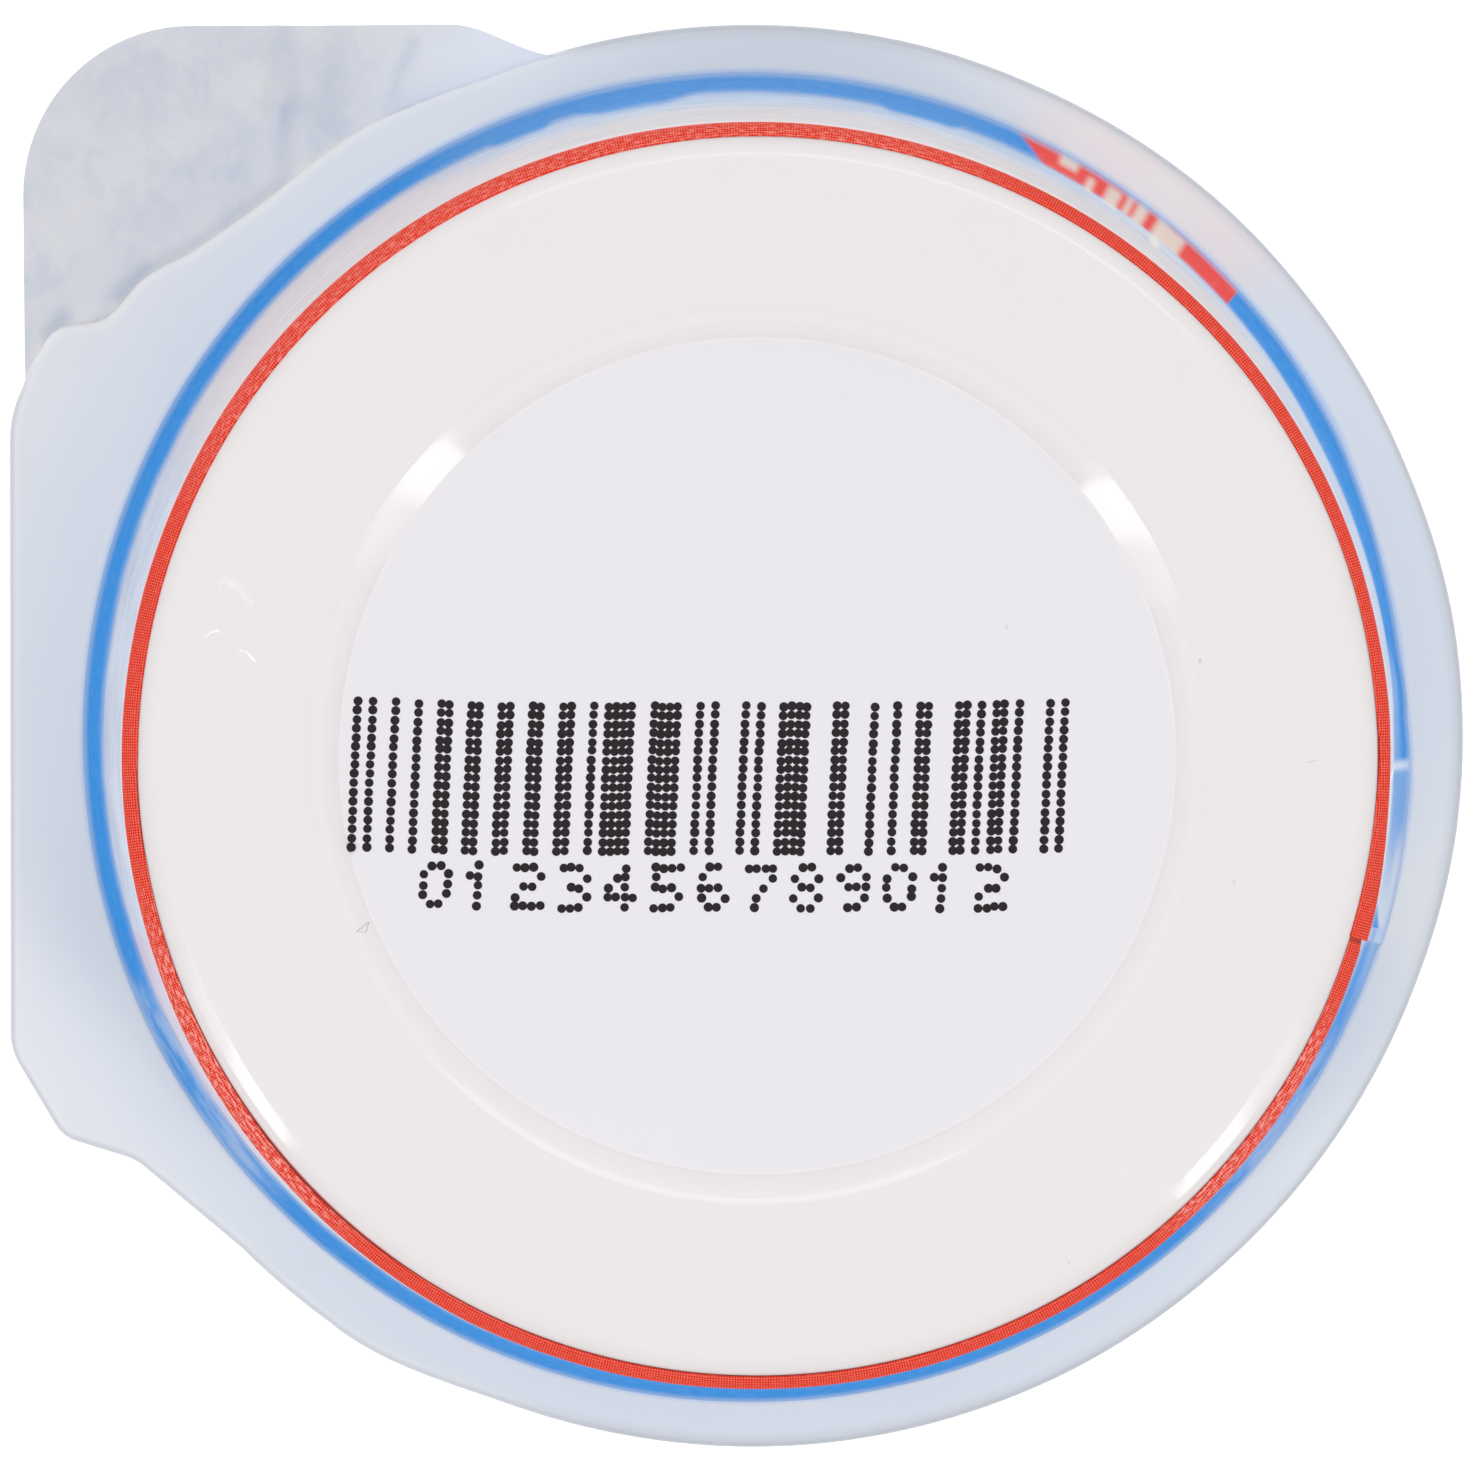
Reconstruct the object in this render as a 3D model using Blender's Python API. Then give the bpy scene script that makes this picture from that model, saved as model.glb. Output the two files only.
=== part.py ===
"""Yogurt pot with a printed paper wrap and a peel lid, standing upside down on its lid.

The origin is on the pot's axis at the lid's outer face, and +Z runs towards the pot's base.
The straight-fronted ear of the flange is at -X, and the peel tab points to -X +Y.
Every length is in metres.
"""

import math

import bmesh
import bpy
from mathutils import Vector

# Whole pot
POT_HEIGHT = 0.070
GAP = 0.0003
ROUND_STEPS = 96
SHARP_ANGLE = math.radians(35)
WELD_DISTANCE = 1e-6

# Lid, whose peel tab starts at a notch beside the ear; the corner is x, y and radius
LID_THICKNESS = 0.0003
LID_INSET = 0.0002
TAB_NOTCH = (-0.0383, 0.0184)
TAB_CORNER = (-0.0385, 0.0375, 0.0090)
TAB_CORNER_STEPS = 10
TAB_DIP_START = (-0.0158, 0.0375)
TAB_DIP_END_ANGLE = 106
TAB_DIP_STEPS = 6

# Flange, with the ear that was snapped off a pack of pots
FLANGE_THICKNESS = 0.0012
FLANGE_EDGE_BEVEL = 0.0002
RIM_RADIUS = 0.0375
SHOULDER_RADIUS = 0.0381
SHOULDER_START_ANGLE = 110
SHOULDER_FULL_ANGLE = 124
EAR_FRONT = (-0.0391, 0.0)

# Corners of the ear as x, y and radius, and where its two flanks meet the round rim
TAB_SIDE_CORNERS = ((-0.0391, 0.01878, 0.0062),)
TAB_SIDE_JOIN_ANGLE = 125.8
PLAIN_SIDE_CORNERS = (
    (-0.0325, -0.0223, 0.0030),
    (-0.0363, -0.0210, 0.0013),
    (-0.0391, -0.0161, 0.0024),
)
PLAIN_SIDE_JOIN_ANGLE = -135
EAR_CORNER_STEPS = 6

# Cup body
RECESS_RADIUS = 0.01817
RECESS_STEP_WIDTH = 0.00155
RECESS_DEPTH = 0.00064
RECESS_ROUNDING = 1.7
RECESS_STEPS = 4
FOOT_FILLET_CENTRE_RADIUS = 0.02575
FOOT_FILLET_RADIUS = 0.00095
FOOT_FILLET_STEPS = 5
WALL_KINK_RADIUS = 0.03245
WALL_KINK_HEIGHT = 0.0120
WALL_MOUTH_RADIUS = 0.03425
WALL_SINK = 0.0007

# Paper wrap
PAPER_THICKNESS = 0.00035
WRAP_BASE_RADIUS = 0.0275
WRAP_BASE_HEIGHT = 0.06895
WRAP_KINK_RADIUS = 0.0331
WRAP_MOUTH_RADIUS = 0.0349
CURL_RADIUS = 0.0005
CURL_START_ANGLE = 95
CURL_END_ANGLE = 5
CURL_OUTER_STEPS = 4
CURL_INNER_STEPS = 2
LAP_START_ANGLE = -16.9
LAP_END_ANGLE = 1.6
LAP_STEPS = 8
LAP_SINK = 0.0001
LAP_LIFT = 0.0003
LAP_FEATHER = 0.00005

# Heights that follow from the sizes above
FLANGE_BOTTOM = LID_THICKNESS + GAP
FLANGE_TOP = FLANGE_BOTTOM + FLANGE_THICKNESS
WRAP_MOUTH_HEIGHT = FLANGE_TOP + GAP
RECESS_HEIGHT = POT_HEIGHT - RECESS_DEPTH


def clear_scene():
    """Removes what the file held before."""
    for old in list(bpy.data.objects):
        bpy.data.objects.remove(old, do_unlink=True)


def material(name, colour, roughness, metallic=0.0):
    """Makes a material with one plain finish."""
    finish = bpy.data.materials.new(name)
    finish.use_nodes = True
    shader = finish.node_tree.nodes["Principled BSDF"]
    shader.inputs["Base Color"].default_value = (*colour, 1.0)
    shader.inputs["Roughness"].default_value = roughness
    shader.inputs["Metallic"].default_value = metallic
    return finish


def smoothstep(t):
    """Eases from 0 to 1, flat at both ends."""
    t = min(1.0, max(0.0, t))
    return t * t * (3 - 2 * t)


def arc(centre, radius, start_deg, end_deg, steps):
    """Points along an arc, both ends included."""
    points = []
    for i in range(steps + 1):
        angle = math.radians(start_deg + (end_deg - start_deg) * i / steps)
        x = centre[0] + radius * math.cos(angle)
        y = centre[1] + radius * math.sin(angle)
        points.append((x, y))
    return points


def on_circle(radius, angle_deg):
    """The point of a circle round the pot's axis at an angle from +X."""
    angle = math.radians(angle_deg)
    return radius * math.cos(angle), radius * math.sin(angle)


def angle_of(point):
    """The angle in degrees from +X, between -180 and 180, at which a point lies."""
    return math.degrees(math.atan2(point[1], point[0]))


def rounded(corner, before, after, steps):
    """Points round one corner of x, y and radius, on the way from one point to another."""
    tip = Vector(corner[:2])
    way_in = (Vector(before[:2]) - tip).normalized()
    way_out = (Vector(after[:2]) - tip).normalized()
    half = way_in.angle(way_out) / 2
    centre = tip + (way_in + way_out).normalized() * corner[2] / math.sin(half)
    reach = corner[2] / math.tan(half)
    start = angle_of(tip + way_in * reach - centre)
    end = angle_of(tip + way_out * reach - centre)
    turn = (end - start + 180) % 360 - 180
    return arc(centre, corner[2], start, start + turn, steps)


def rounded_path(start, corners, end, steps):
    """Points of a path with rounded corners, its two ends included."""
    stations = [start, *corners, end]
    points = [tuple(start)]
    for before, corner, after in zip(stations, stations[1:], stations[2:]):
        points += rounded(corner, before, after, steps)
    points.append(tuple(end))
    return points


def rim_radius_at(angle_deg):
    """Radius of the rim, which swells a little on its way to the ear."""
    turn = abs((angle_deg + 180) % 360 - 180)
    span = SHOULDER_FULL_ANGLE - SHOULDER_START_ANGLE
    share = smoothstep((turn - SHOULDER_START_ANGLE) / span)
    return RIM_RADIUS + (SHOULDER_RADIUS - RIM_RADIUS) * share


def rim_points(start_deg, end_deg):
    """Points along the rim between two angles, both left out."""
    steps = round(abs(end_deg - start_deg) * ROUND_STEPS / 360)
    angles = [start_deg + (end_deg - start_deg) * i / steps for i in range(1, steps)]
    return [on_circle(rim_radius_at(angle), angle) for angle in angles]


def flange_outline():
    """The flange's outline from the ear's front past the tab side and round to the front again."""
    tab_side = on_circle(SHOULDER_RADIUS, TAB_SIDE_JOIN_ANGLE)
    plain_side = on_circle(SHOULDER_RADIUS, PLAIN_SIDE_JOIN_ANGLE)
    points = rounded_path(EAR_FRONT, TAB_SIDE_CORNERS, tab_side, EAR_CORNER_STEPS)
    points += rim_points(TAB_SIDE_JOIN_ANGLE, PLAIN_SIDE_JOIN_ANGLE)
    points += rounded_path(plain_side, PLAIN_SIDE_CORNERS, EAR_FRONT, EAR_CORNER_STEPS)
    return points[:-1]


def drawn_in(outline, distance):
    """An outline that runs clockwise, with every point moved inwards."""
    points = []
    for i, (x, y) in enumerate(outline):
        before = Vector(outline[i - 1])
        after = Vector(outline[(i + 1) % len(outline)])
        along = (after - before).normalized()
        points.append((x + along.y * distance, y - along.x * distance))
    return points


def tab_points():
    """The peel tab's outline from its notch to where it meets the round edge."""
    points = rounded_path(TAB_NOTCH, (TAB_CORNER,), TAB_DIP_START, TAB_CORNER_STEPS)
    end = on_circle(RIM_RADIUS - LID_INSET, TAB_DIP_END_ANGLE)
    for i in range(1, TAB_DIP_STEPS + 1):
        share = i / TAB_DIP_STEPS
        x = TAB_DIP_START[0] + (end[0] - TAB_DIP_START[0]) * share
        y = TAB_DIP_START[1] + (end[1] - TAB_DIP_START[1]) * smoothstep(share)
        points.append((x, y))
    return points


def lid_outline():
    """The flange's outline drawn in a little, with the peel tab in place of its tab-side flank."""
    edge = drawn_in(flange_outline(), LID_INSET)
    front = [point for point in edge if angle_of(point) > angle_of(TAB_NOTCH)]
    rest = [point for point in edge if angle_of(point) < TAB_DIP_END_ANGLE]
    return front + tab_points() + rest


def new_object(name, bm, finish):
    """Turns a bmesh into a named, smooth-shaded object."""
    bmesh.ops.recalc_face_normals(bm, faces=bm.faces[:])
    mesh = bpy.data.meshes.new(name)
    bm.to_mesh(mesh)
    bm.free()
    mesh.shade_smooth()
    mesh.set_sharp_from_angle(angle=SHARP_ANGLE)
    mesh.materials.append(finish)
    item = bpy.data.objects.new(name, mesh)
    bpy.context.collection.objects.link(item)
    return item


def plate(name, outline, bottom, top, finish, edge_bevel=0.0):
    """A flat plate of an outline, with an optional bevel round its top edge."""
    bm = bmesh.new()
    loop = [bm.verts.new((x, y, bottom)) for x, y in outline]
    face = bm.faces.new(loop)
    raised = bmesh.ops.extrude_face_region(bm, geom=[face])["geom"]
    bmesh.ops.translate(
        bm,
        vec=(0.0, 0.0, top - bottom),
        verts=[part for part in raised if isinstance(part, bmesh.types.BMVert)],
    )
    if edge_bevel > 0:
        middle = (bottom + top) / 2
        rim = [edge for edge in bm.edges if all(vert.co.z > middle for vert in edge.verts)]
        bmesh.ops.bevel(bm, geom=rim, offset=edge_bevel, segments=1, affect="EDGES")
    return new_object(name, bm, finish)


def turned(name, section, finish, closed):
    """A solid or shell of revolution from a section of radius and height."""
    bm = bmesh.new()
    verts = [bm.verts.new((radius, 0.0, height)) for radius, height in section]
    edges = [bm.edges.new(pair) for pair in zip(verts, verts[1:])]
    if closed:
        edges.append(bm.edges.new((verts[-1], verts[0])))
    bmesh.ops.spin(
        bm,
        geom=verts + edges,
        cent=(0.0, 0.0, 0.0),
        axis=(0.0, 0.0, 1.0),
        angle=math.tau,
        steps=ROUND_STEPS,
        use_duplicate=False,
    )
    bmesh.ops.remove_doubles(bm, verts=bm.verts[:], dist=WELD_DISTANCE)
    return new_object(name, bm, finish)


def join_solid(item, addition):
    """Unites a helper solid with an object, and hides the helper."""
    addition.hide_render = True
    addition.display_type = "WIRE"
    union = item.modifiers.new("union_" + addition.name, "BOOLEAN")
    union.operation = "UNION"
    union.solver = "EXACT"
    union.object = addition


def wall_taper(top_radius, top_height):
    """Lean of the cup's wall in degrees from upright."""
    return math.degrees(math.atan2(WALL_KINK_RADIUS - top_radius, top_height - WALL_KINK_HEIGHT))


def recess_points():
    """The recess in the base: flat, then a step that is steep at its crease and rounds over."""
    points = [(0.0, RECESS_HEIGHT)]
    for i in range(RECESS_STEPS + 1):
        share = i / RECESS_STEPS
        rise = 1 - (1 - share) ** RECESS_ROUNDING
        points.append((RECESS_RADIUS + RECESS_STEP_WIDTH * share, RECESS_HEIGHT + RECESS_DEPTH * rise))
    return points


def cup_section():
    """Half section of the cup from the middle of its base down into the flange."""
    fillet = (FOOT_FILLET_CENTRE_RADIUS, POT_HEIGHT - FOOT_FILLET_RADIUS)
    taper = wall_taper(fillet[0] + FOOT_FILLET_RADIUS, fillet[1])
    section = recess_points()
    section += arc(fillet, FOOT_FILLET_RADIUS, 90, taper, FOOT_FILLET_STEPS)
    section.append((WALL_KINK_RADIUS, WALL_KINK_HEIGHT))
    section.append((WALL_MOUTH_RADIUS, FLANGE_TOP))
    section.append((WALL_MOUTH_RADIUS, FLANGE_TOP - WALL_SINK))
    section.append((0.0, FLANGE_TOP - WALL_SINK))
    return section


def make_cup(finish):
    """The cup: turned body, recessed base and the flat flange with its ear."""
    cup = turned("cup", cup_section(), finish, closed=False)
    outline = flange_outline()
    flange = plate("flange_plate", outline, FLANGE_BOTTOM, FLANGE_TOP, finish, FLANGE_EDGE_BEVEL)
    join_solid(cup, flange)
    return cup


def curl_centre():
    """Middle of the small curl at the wrap's edge round the base."""
    return WRAP_BASE_RADIUS - CURL_RADIUS, WRAP_BASE_HEIGHT


def wrap_section(inner_offset, outer_offset, mouth_height):
    """Closed section of the paper wrap between two offsets from its outer face."""
    outer_curl = CURL_RADIUS + outer_offset
    inner_curl = CURL_RADIUS - inner_offset
    centre = curl_centre()
    section = arc(centre, outer_curl, CURL_START_ANGLE, CURL_END_ANGLE, CURL_OUTER_STEPS)
    section.append((WRAP_KINK_RADIUS + outer_offset, WALL_KINK_HEIGHT))
    section.append((WRAP_MOUTH_RADIUS + outer_offset, mouth_height))
    section.append((WRAP_MOUTH_RADIUS - inner_offset, mouth_height))
    section.append((WRAP_KINK_RADIUS - inner_offset, WALL_KINK_HEIGHT))
    section += arc(centre, inner_curl, CURL_END_ANGLE, CURL_START_ANGLE, CURL_INNER_STEPS)
    return section


def lap_strip(finish):
    """The end of the paper where it laps over its start and springs up towards its cut edge."""
    bm = bmesh.new()
    rings = []
    for i in range(LAP_STEPS + 1):
        angle = math.radians(LAP_START_ANGLE + (LAP_END_ANGLE - LAP_START_ANGLE) * i / LAP_STEPS)
        lift = LAP_FEATHER + (LAP_LIFT - LAP_FEATHER) * (1 - smoothstep(i / LAP_STEPS))
        section = wrap_section(LAP_SINK, lift, WRAP_MOUTH_HEIGHT + LAP_SINK)
        rings.append([bm.verts.new((r * math.cos(angle), r * math.sin(angle), z)) for r, z in section])
    for ring, following in zip(rings, rings[1:]):
        for i in range(len(ring)):
            bm.faces.new((ring[i - 1], ring[i], following[i], following[i - 1]))
    bm.faces.new(rings[0])
    bm.faces.new(rings[-1])
    return new_object("lap_strip", bm, finish)


def make_sleeve(finish):
    """The paper wrap, closed into a ring, with its lap along one side."""
    section = wrap_section(PAPER_THICKNESS, 0.0, WRAP_MOUTH_HEIGHT)
    sleeve = turned("sleeve", section, finish, closed=True)
    join_solid(sleeve, lap_strip(finish))
    return sleeve


def make_lid(finish):
    """The foil lid, which follows the flange and runs out into the peel tab."""
    return plate("lid", lid_outline(), 0.0, LID_THICKNESS, finish)


def main():
    """Builds the pot."""
    clear_scene()
    make_cup(material("white_plastic", (0.82, 0.83, 0.85), 0.28))
    make_sleeve(material("printed_paper", (0.80, 0.80, 0.84), 0.55))
    make_lid(material("lid_foil", (0.64, 0.66, 0.70), 0.42, metallic=0.6))


main()
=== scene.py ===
"""Dresses the shut yogurt pot: moulded cup, printed paper wrap, foil lid and ink-jet print on the base.

The pot stands upside down on its lid. A named length is in metres, unless a comment says otherwise
or its name ends in _MM or in _PX, for pixels of the photograph's own 1474 pixel square. A named angle
is in degrees.
"""

import math
import random

import bpy
from mathutils import Matrix, Vector, noise


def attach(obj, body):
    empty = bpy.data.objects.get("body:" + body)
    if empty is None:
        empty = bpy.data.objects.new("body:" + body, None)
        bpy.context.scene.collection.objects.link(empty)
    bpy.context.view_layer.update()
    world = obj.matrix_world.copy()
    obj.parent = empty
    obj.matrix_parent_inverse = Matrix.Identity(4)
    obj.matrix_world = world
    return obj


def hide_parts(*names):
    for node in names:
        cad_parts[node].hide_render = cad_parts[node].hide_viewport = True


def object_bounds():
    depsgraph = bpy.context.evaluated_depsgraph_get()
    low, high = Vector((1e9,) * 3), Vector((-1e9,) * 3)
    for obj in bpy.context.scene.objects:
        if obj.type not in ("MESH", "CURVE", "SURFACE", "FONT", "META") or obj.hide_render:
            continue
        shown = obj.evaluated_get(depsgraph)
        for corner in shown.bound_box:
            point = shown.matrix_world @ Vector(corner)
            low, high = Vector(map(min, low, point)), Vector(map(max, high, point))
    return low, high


MM = 0.001

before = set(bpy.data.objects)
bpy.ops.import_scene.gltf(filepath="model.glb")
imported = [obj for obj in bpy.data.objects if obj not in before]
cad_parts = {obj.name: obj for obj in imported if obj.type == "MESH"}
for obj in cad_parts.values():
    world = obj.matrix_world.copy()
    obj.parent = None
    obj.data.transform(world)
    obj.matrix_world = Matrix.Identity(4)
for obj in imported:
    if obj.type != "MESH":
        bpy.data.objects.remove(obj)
cad_low, cad_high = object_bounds()

# Photograph and camera
FRAME_PX = 1474
SENSOR_MM = 36.0
FOCAL_PX = 7284
PLUMB_PX = (726, 647)
CAMERA_PLACE = Vector((-1.37 * MM, 4.73 * MM, 385.2 * MM))
CLIP_START = 0.01
CLIP_END = 20.0

# Light
ROOM_COLOUR = (0.97, 0.98, 1.0, 1.0)
HORIZON_LIGHT = 0.475
ZENITH_LIGHT = 1.005
BRIGHT_WAY = (0.0, 0.50, 0.87)
SOFTBOX_POLAR = 42
SOFTBOX_DISTANCE = 0.8
SOFTBOX_SIDES = (0.40, 0.80)
SOFTBOX_POWER = 5.2
SOFTBOX_TAIL = 0.24
SOFTBOX_EDGE_SOFT = 0.3
SOFTBOX_BODY = (-3.2, 1.0)
SOFTBOX_END = (-13.0, -8.0)
LEFT_SOFTBOX = (212.8, 7.4, 1)
RIGHT_SOFTBOX = (321.3, 7.9, -1)
CEILING_AZIMUTH = 80
CEILING_POLAR = 26
CEILING_SIDES = (0.50, 0.18)
CEILING_POWER = 0.42

# Floor
FLOOR_SIDE = 6.0
FLOOR_CUTS = 8
FLOOR_DROP = 0.02 * MM
FLOOR_GLOW = 0.50

# Heights
POT_HEIGHT = cad_high.z
LID_TOP = 0.30 * MM
FLANGE_BOTTOM = 0.32 * MM
FLANGE_TOP = 1.80 * MM
RECESS_DEPTH = 0.64 * MM
RECESS_HEIGHT = POT_HEIGHT - RECESS_DEPTH

# Cup
CUP_STEPS = 288
RECESS_RADIUS = 18.17 * MM
RECESS_STEP = 1.55 * MM
RECESS_ROUNDING = 1.7
CUP_CORNER_ANGLE = 25
FOOT_RADIUS = 25.85 * MM
FOOT_FILLET = 1.25 * MM
WALL_ANGLE = 5.7
WALL_KINK = (32.65 * MM, 12.0 * MM)
WALL_MOUTH = (34.50 * MM, FLANGE_TOP)
LEAN = 0.22 * MM
LEAN_TOP = 69.0 * MM
WALL_SINK = 0.8 * MM
DISC_RINGS = 14
STEP_RINGS = 14
FOOT_RINGS = 9
FILLET_RINGS = 14
WALL_RINGS = 6
SKIRT_RINGS = 3

# Dimple on the foot: an oval, and the arched lip where it ends
DIMPLE_MIDDLE_PX = (212, 640)
DIMPLE_HALF_PX = (48, 64)
DIMPLE_LIP_PX = (
    (200, 641), (206, 636), (212, 631.5), (219, 630), (226, 634), (240, 650), (248, 653),
    (256, 662), (262, 671),
)
DIMPLE_LIP_WIDTH_PX = 3.2
DIMPLE_START_PX = 196
DIMPLE_RUN_PX = 14
DIMPLE_RIM_SHARE = 0.20
FAINT_START_PX = 219
FAINT_END_PX = 244
FAINT_SOFT_PX = 5
FAINT_SHARE = 0.55
DIMPLE_DEPTH = 0.046 * MM
DIMPLE_REACH = 3.4 * MM
DIMPLE_CUTS = 11
DIMPLE_PRESSED = DIMPLE_REACH * 0.95
FLAT_WITHIN = 0.05 * MM

# Flange
RIM_RADIUS = 37.49 * MM
SHOULDER_RADIUS = 38.1 * MM
SHOULDER_ANGLES = (110, 124)
EAR_FRONT = -39.1 * MM
EAR_CORNER_RADIUS = 6.2 * MM
EAR_CORNER = Vector((EAR_FRONT + EAR_CORNER_RADIUS, 15.6 * MM))
FLANGE_ROUNDING = 0.60 * MM
ROUNDING_CUTS = 5

# Corners of the ear away from the tab, as x, y and radius in millimetres, and where that flank
# meets the rim
PLAIN_CORNERS_MM = ((-32.5, -22.3, 3.0), (-36.35, -21.1, 1.9), (-39.1, -16.5, 3.4))
PLAIN_JOIN_ANGLE = -135

# How far the trimmed flank beside the tab strays from straight: distance along it and depth
CHORD_WAVES_MM = (
    (-3.0, 0.0), (-1.4, 0.35), (0.3, 0.75), (2.9, -0.3), (5.9, 0.24), (9.2, -0.14),
    (12.4, -0.2), (17.5, 0.0),
)

# How far the rim strays from round: angle from +X and depth in millimetres
RIM_WAVES_MM = (
    (-125, 0.05), (-100, -0.02), (-86, 0.0), (-66, -0.03), (-45, -0.13), (-22, -0.13),
    (-7, 0.0), (8, 0.0), (24, -0.18), (36, -0.14), (50, -0.05), (66, -0.08), (78, 0.0),
    (125, 0.0),
)

# Lid
LID_INSET = 0.2 * MM
TAB_NOTCH = (-38.3 * MM, 18.4 * MM)
TAB_CORNER = (-38.55 * MM, 37.45 * MM, 8.9 * MM)
TAB_DIP_START = (-15.8 * MM, 37.48 * MM)
TAB_DIP_ANGLE = 106
LID_BLANK = 84 * MM
FOIL_SINK = 0.1 * MM
FOIL_CELL = 1.5 * MM
FOIL_CUTS = 3
FOIL_CORNER_ANGLE = 50
FINE_BEFORE_X = -10 * MM
FINE_BEYOND_Y = 8 * MM
TAB_START = 90
TAB_END = 165
TAB_SEAL = 0.9 * MM
TAB_RISE_RUN = 4 * MM
TAB_LIFT = 0.55 * MM
CRUMPLE_LIFT = 0.22 * MM
CRUMPLE_GRAIN = 120
RIPPLE_LIFT = 0.05 * MM
RIPPLE_GRAIN = 480
RIPPLE_STRETCH = 0.6
RIPPLE_LEVEL = 0.3
CUTTER_REACH = 2 * MM
CLING_START = -1.3 * MM
CLING_RUN = 1.0 * MM
CLING_HOLD = 0.6 * MM
CLING_FALL = 6.0 * MM
CLING_LIFT_MM = 0.85
CLING_EXTRA_MM = 0.60
CLING_EASE_START = 118
CLING_EASE_RUN = 14
CLING_END = 160
CLING_END_RUN = 8
FOLD_SHADE_ATTRIBUTE = "painted_fold_shade"

# Wrap
WRAP_STEPS = 360
LAP_STEPS = 42
CURL_STEPS = 12
INNER_CURL_STEPS = 5
TALL_STEPS = 24
SKIRT_STEPS = 5
PAPER = 0.25 * MM
WAVER_REACH = 0.02 * MM
WAVER_GRAIN = 160
CURL_CENTRE = (27.0 * MM, 69.08 * MM)
CURL_LIP_ANGLE = 104
CURL_RADIUS = 0.5 * MM
WRAP_KINK = (33.1 * MM, 12.0 * MM)
WRAP_MOUTH = (34.95 * MM, 1.83 * MM)
LAP_CUT = -16.9
LAP_END = 3.4
LAP_LIFT = 0.17 * MM
LAP_SLANT = 1.3
LAP_START_LIFT = -0.02 * MM
LAP_RAMP = 1.5
LAP_TUCK = 0.05 * MM
TOP_FACE_START = 69.2 * MM
TOP_FACE_RUN = 0.3 * MM
UNDER_LAP_MARGIN = 1.0
UNDER_LAP_RUN = 2
UNDER_LAP_PUSH = 0.16 * MM
UNDER_LAP_DROP = 0.03 * MM
STRAY_START = 35 * MM
STRAY_RUN = 25 * MM
MOUTH_RUN = 8 * MM
LIP_DROP = 1.3
HALFTONE_PITCH = 0.168 * MM
BAND_BLUE = (0.012, 0.258, 0.720, 1.0)

# Where the blue band's top edge steps up: from, to, softness in degrees, and step in picture pixels
BAND_STEPS = (
    (14.9, 49, 6.0, 8.5),
    (30, 60, 8.0, 3.5),
    (88.5, 95.0, 0.7, 4.0),
    (113.5, 121.5, 1.6, 6.0),
    (125.3, 130.5, 0.7, 4.0),
    (350, 366, 4.0, -3.0),
)

# How far the paper strays from round: angle and depth in millimetres, for its inner lip,
# its turned edge and its mouth
LIP_WAVES_MM = (
    (-18, 0.0), (-5, 0.0), (-2, 0.07), (1, 0.10), (3.2, 0.03), (5.5, 0.0), (30, -0.04),
    (60, -0.045), (90, -0.035), (105, -0.075), (120, -0.087), (150, -0.075), (165, -0.055),
    (180, -0.02), (182, 0.05), (188, 0.05), (190, 0.01), (210, 0.055), (225, 0.13),
    (240, 0.055), (255, 0.03), (330, 0.03), (342, 0.0),
)
EDGE_WAVES_MM = (
    (3, 0.0), (14, -0.05), (60, -0.055), (75, -0.04), (90, 0.0), (105, 0.02), (120, 0.05),
    (150, 0.06), (195, 0.11), (210, 0.17), (225, 0.13), (240, 0.12), (255, 0.04), (270, 0.0),
    (312, 0.02), (330, 0.06), (342, 0.0),
)
MOUTH_WAVES_MM = (
    (-4, 0.0), (3, -0.22), (8, -0.37), (14, -0.34), (20, -0.25), (28, -0.11), (38, -0.02),
    (60, -0.025), (105, -0.025), (150, 0.05), (180, 0.05), (210, 0.14), (240, 0.12),
    (262, 0.09), (300, 0.20), (325, 0.10), (342, 0.0),
)

# Print on the base
INK_DOT = 0.200 * MM
INK_DEPTH = 0.012 * MM
DOT_SIDES = 14
DOT_EDGE_SHARE = 0.4
DOT_LIFTS = (0.5, 0.3)
DOT_SIZES = (0.94, 1.05)
BAR_SEED = 95
DOT_SEED = 14
MODULE_PX = 7.61
BAR_LEFT_PX = 358
BAR_TOP_PX = 700.5
BAR_ROWS = 17
ROW_PX = 9.18
ROW_SHIFT_PX = 0.6
BAR_SLANT_PX = 6.8
BAR_SLANT_BEND = 0.9
BAR_SWAY_PX = 0.4
LEFT_DIP_PX = 5.5
LEFT_DIP_COLUMNS = 18
RIGHT_RISE_PX = 3.5
RIGHT_RISE_COLUMNS = (70, 25)
COLUMN_STRAY_PX = 0.8
DOT_STRAY_PX = (0.3, 0.25)
LOW_ROW_EASE = 0.3
HALF_COLUMNS = 41
DIGIT_LEFT_PX = 424
DIGIT_TOP_PX = 865
DIGIT_PITCH_PX = 46.4
DIGIT_ROW_PX = 9.9
DIGIT_CELL_PX = 8.2
DIGIT_SLANT_PX = 0.5
DIGIT_DROP_PX = 3
DIGIT_DROP_COUNT = 3
DIGIT_STRAY_PX = (0.8, 1.2)
DIGIT_COUNT = 13

WHOLE_TURN = math.tau

# Points nearer than this are one, and corners sharper than this stay sharp
WELD = 0.001 * MM
CORNER_ANGLE = 35

# How finely the outlines are drawn
RIM_STEP_ANGLE = 1.5
EAR_CORNER_STEPS = 12
CHORD_STEPS = 30
TAB_CORNER_STEPS = 20
TAB_DIP_STEPS = 12


def deselect():
    """Leaves object mode with nothing selected."""
    if bpy.context.mode != "OBJECT":
        bpy.ops.object.mode_set(mode="OBJECT")
    bpy.ops.object.select_all(action="DESELECT")


def pick(item):
    """Makes one piece the selected and active one."""
    deselect()
    item.select_set(True)
    bpy.context.view_layer.objects.active = item


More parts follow.
